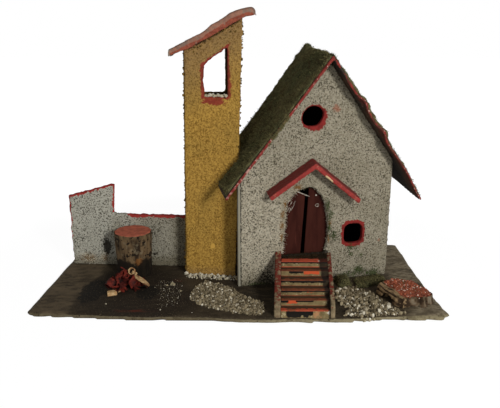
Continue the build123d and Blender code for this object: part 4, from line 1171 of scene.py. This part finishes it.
# The palest stones are partly a painted highlight, standing in for glints.
colour = toned(tree, colour, "ddd4bd", 0.82, 0.95)
colour = flecked(tree, colour, "493f2d", 0.55, 0.8, 1.5, 3)
coat(tree, shader, colour)
chance = np.random.default_rng(121)
path = [(23.7 - 72 * (1 - x), -91.3 + 75 * y) for x, y in (
    (0, 0.47), (0.06, 0.85), (0.17, 1), (0.4, 0.88), (0.57, 0.75), (0.72, 0.53), (0.85, 0.44), (1, 0.34),
    (1, 0.21), (0.96, 0), (0.8, 0.02), (0.57, 0.09), (0.29, 0.21), (0.12, 0.31))]
patch = [(98.2 + 101.8 * x, -90.6 + 61.0 * y) for x, y in (
    (0, 0.56), (0, 0.86), (0.16, 1), (0.3, 0.86), (0.39, 0.66), (0.42, 0.47), (0.55, 0.1), (0.36, 0),
    (0.12, 0), (0.06, 0.35))]
rim = [(100, -93), (128, -91.5), (158, -88.5), (158, -85.5), (128, -88), (100, -90)]
path_places = strewn(path, 1700, chance, 1.15)
piece("path_stones", stones(path_places, 0.9, chance), gravel_paint, "gravel", "gravel_path", smooth=False)
patch_places = np.concatenate([strewn(patch, 700, chance, 1.65), strewn(rim, 60, chance, 1.6)])
piece("patch_stones", stones(patch_places, 1.2, chance), gravel_paint, "gravel", "gravel_patch", smooth=False)
foot = [(-58, -4), (-57, 4), (-4, -3), (-4, -11), (-30, -9)]
loose = [(-78, -24.5), (-76, -26), (-71, -24.4), (-69.5, -25), (-75, -82), (-44, -88), (-130, -70),
         (-60, -40)]
foot_places = np.concatenate([strewn(foot, 100, chance, 1.9), loose])
specks = strewn([(-88, -14), (-64, -12), (-58, -40), (-60, -72), (-78, -80), (-84, -40)], 190, chance, 1.4)
piece("strewn_specks", stones(specks, 0.26, chance), pale_stone, "crumbs", smooth=False)
piece("foot_crumbs", stones(foot_places, 1.25, chance), pale_stone, "crumbs", "tower_crumbs", smooth=False)
count = 16
spots = np.column_stack([chance.uniform(116, 128.5, count), -94.4 + chance.uniform(-0.8, 1.0, count),
                         chance.uniform(0.6, 4.2, count)])
sizes = chance.uniform(0.8, 1.6, (count, 1)) * chance.uniform(0.8, 1.2, (count, 3))
glue = repeated(pebble_shapes, spots, chance.normal(0, 1, (count, 3)), sizes, chance)
piece("glue_lumps", glue, pale_stone, "crumbs")


# Bark slab
# A rough slab of tree bark glued near the right corner, hollow under its left side, ridged in front.
# The top is painted red-orange, with grit of the same colour glued on it.
slab, at, out = opened("bark_slab", 0.8)
spread = at * (0.6, 1, 0.35)
ridges = 0.9 * lumps(spread, 3, 131) + 0.5 * lumps(at, 1.7, 132)
bare_side = 1 - fade(at[:, 0] + 0.372 * (at[:, 1] + 38), 148, 153)
streaks = lumps(np.stack([at[:, 0] + 0.37 * at[:, 1], 0.2 * at[:, 1], at[:, 2]], 1), 1.9, 136)
ridges += 1.3 * bare_side * streaks
at += out * (ridges * 0.7)[:, None]
flat_top = fade(out[:, 2], 0.35, 0.7) * fade(at[:, 2], 12, 14)
at[:, 2] += flat_top * (1.4 * lumps(at, 9, 133) - 0.8)
at[:, 0] += 4.0 * fade(at[:, 0], 150, 178)
move_corners(slab, at)
painted = flat_top * fade(at[:, 0] - 147.5 + 0.372 * (at[:, 1] + 38) + 2.5 * lumps(at, 6, 134), -1.5, 1.5)
mark(slab, "top", painted)
mark(slab, "worn", (0.6 * flat_top + 0.9 * bare_side) * fade(streaks, -0.5, 0.3))
mark(slab, "ridge", ridges)
mark(slab, "bleached", fade(at[:, 0], 158, 172) * (1 - fade(at[:, 1], -68, -58)))
bark_paint, tree, shader = paint("bark_paint", 0.95, 0.12)
bark = over(tree, ramp(tree, kept(tree, "ridge"), -0.8, 0.7), "382b1f", "7a6247")
bark = daubed(tree, "worn", bark, "937a58", 2.5, 0.4, 0.9, 1.4, 0.85)
bark = over(tree, kept(tree, "bleached"), bark, "776c5a", ramp(tree, kept(tree, "ridge"), -0.5, 0.6))
red = flecked(tree, "95523a", "6e3b2a", 0.35, 0.7, 4, 4)
red = flecked(tree, red, "5a3a28", 0.6, 0.7, 2, 3)
red = flecked(tree, red, "6b5138", 0.58, 0.66, 11, 3)
colour = over(tree, frayed(tree, "top", noise(tree, 3, 4), 0.5, 0.6, 0.85), bark, red)
coat(tree, shader, colour, 0.5, 1.1, 5)
piece("bark", slab, bark_paint, "bark", "bark_slab")
chance = np.random.default_rng(135)
count = 420
spots, normals = scattered(slab, count, chance, painted > 0.6)
sizes = chance.gamma(2.0, 0.17, (count, 1)) * chance.uniform(0.8, 1.25, (count, 3)) + 0.2
grit_paint, tree, shader = paint("grit_paint", 0.6, 0.35)
colour = toned(tree, "6e3422", "a9583a", 0.0, 0.7)
# The cream grains are partly a painted highlight, standing in for glints on the grit.
colour = toned(tree, colour, "dccbb6", 0.78, 0.88)
coat(tree, shader, colour)
grains = repeated(pebble_shapes, spots, normals, sizes, chance)
piece("painted_grit", grains, grit_paint, "red_grit", "bark_grit", smooth=False)


# Moss clumps
# Tufts of the same dried moss glued on the board at the foot of the house, by the stairs and along the wall.
for name, count, seed, aside, ahead in (("moss_by_stairs", 2600, 141, 0.5, 3),
                                        ("moss_by_wall", 4200, 142, 1.5, 19)):
    mat = loose_copy(name, 0.9)
    at = corners(mat)
    depth = (at[:, 1] - at[:, 1].min()) / np.ptp(at[:, 1])
    at[:, 0] += aside
    at[:, 1] -= ahead * (1 - depth)
    height = 1.3 * lumps(at, 5, seed) + 0.7 * lumps(at, 2, seed + 2) - 0.5
    moss_bed(name, mat, at, height, seed, 0, count, 1.7, None, (0, 0, 0.35))


# Studio
# A plain pale floor with a faint shadow, a white surround, one soft lamp on the right and a soft fill.
mesh = blank(bmesh.ops.create_grid, x_segments=1, y_segments=1, size=3)
floor = bpy.data.objects.new("floor", mesh)
floor.location = (0, 0, -0.0003)
bpy.context.scene.collection.objects.link(floor)
floor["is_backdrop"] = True
floor_paint, tree, shader = paint("floor_paint", 1.0, 0.0)
shader.inputs["Base Color"].default_value = (0.8, 0.8, 0.8, 1)
glow = put(tree, "Emission", {"Color": (1, 1, 1, 1), "Strength": 1.07})
place = put(tree, "TexCoord").outputs["Object"]
far = ramp(tree, put(tree, "VectorMath", {0: place}, operation="LENGTH").outputs["Value"], 0.28, 0.5)
lit = put(tree, "MapRange", {"Value": far, "To Min": 0.9, "To Max": 1.0}).outputs["Result"]
seen = put(tree, "LightPath").outputs["Is Camera Ray"]
shown = sums(tree, "MULTIPLY", seen, lit)
mixed = put(tree, "MixShader", {0: shown, 1: shader.outputs[0], 2: glow.outputs[0]})
tree.links.new(mixed.outputs[0], tree.nodes["Material Output"].inputs["Surface"])
mesh.materials.append(floor_paint)

world = bpy.data.worlds.new("surround")
bpy.context.scene.world = world
world.use_nodes = True
tree = world.node_tree
seen = put(tree, "LightPath").outputs
eye = sums(tree, "MAXIMUM", seen["Is Glossy Ray"], seen["Is Transmission Ray"])
eye = sums(tree, "MAXIMUM", seen["Is Camera Ray"], eye)
upward = put(tree, "SeparateXYZ", {0: put(tree, "TexCoord").outputs["Generated"]}).outputs["Z"]
dimming = {"Value": upward, "From Min": 0.1, "From Max": 0.9, "To Min": 0.34, "To Max": 0.1}
dim = put(tree, "MapRange", dimming).outputs["Result"]
level = put(tree, "MapRange", {"Value": eye, "To Min": dim, "To Max": 1.0}).outputs["Result"]
tree.links.new(level, tree.nodes["Background"].inputs["Strength"])
tree.nodes["Background"].inputs["Color"].default_value = (1, 1, 1, 1)


def lamp(name, azimuth, height, distance, size, power):
    """A square lamp aimed at the object's middle; azimuth in degrees to the right of the camera's side."""
    light = bpy.data.lights.new(name, "AREA")
    light.size = size
    light.energy = power
    made = bpy.data.objects.new(name, light)
    a, e = math.radians(azimuth), math.radians(height)
    aim = np.array([math.sin(a) * math.cos(e), -math.cos(a) * math.cos(e), math.sin(e)])
    made.location = aim * distance + (0.02, 0, 0.11)
    made.rotation_euler = (math.pi / 2 - e, 0, a)
    bpy.context.scene.collection.objects.link(made)


lamp("key", 29, 21, 1.7, 0.22, 19)
lamp("fill", -20, 18, 2.0, 1.2, 3.5)

lens = bpy.data.cameras.new("camera")
lens.lens = 46.08
lens.sensor_width = 36
lens.clip_start = 0.01
camera = bpy.data.objects.new("camera", lens)
camera.location = (0.0169, -0.6389, 0.2852)
camera.rotation_euler = (math.radians(90 - 17.27), 0, math.radians(0.568))
bpy.context.scene.collection.objects.link(camera)
bpy.context.scene.camera = camera
bpy.context.scene.view_settings.view_transform = "Standard"

ends = {"cad": packed_bounds, "looks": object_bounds()}
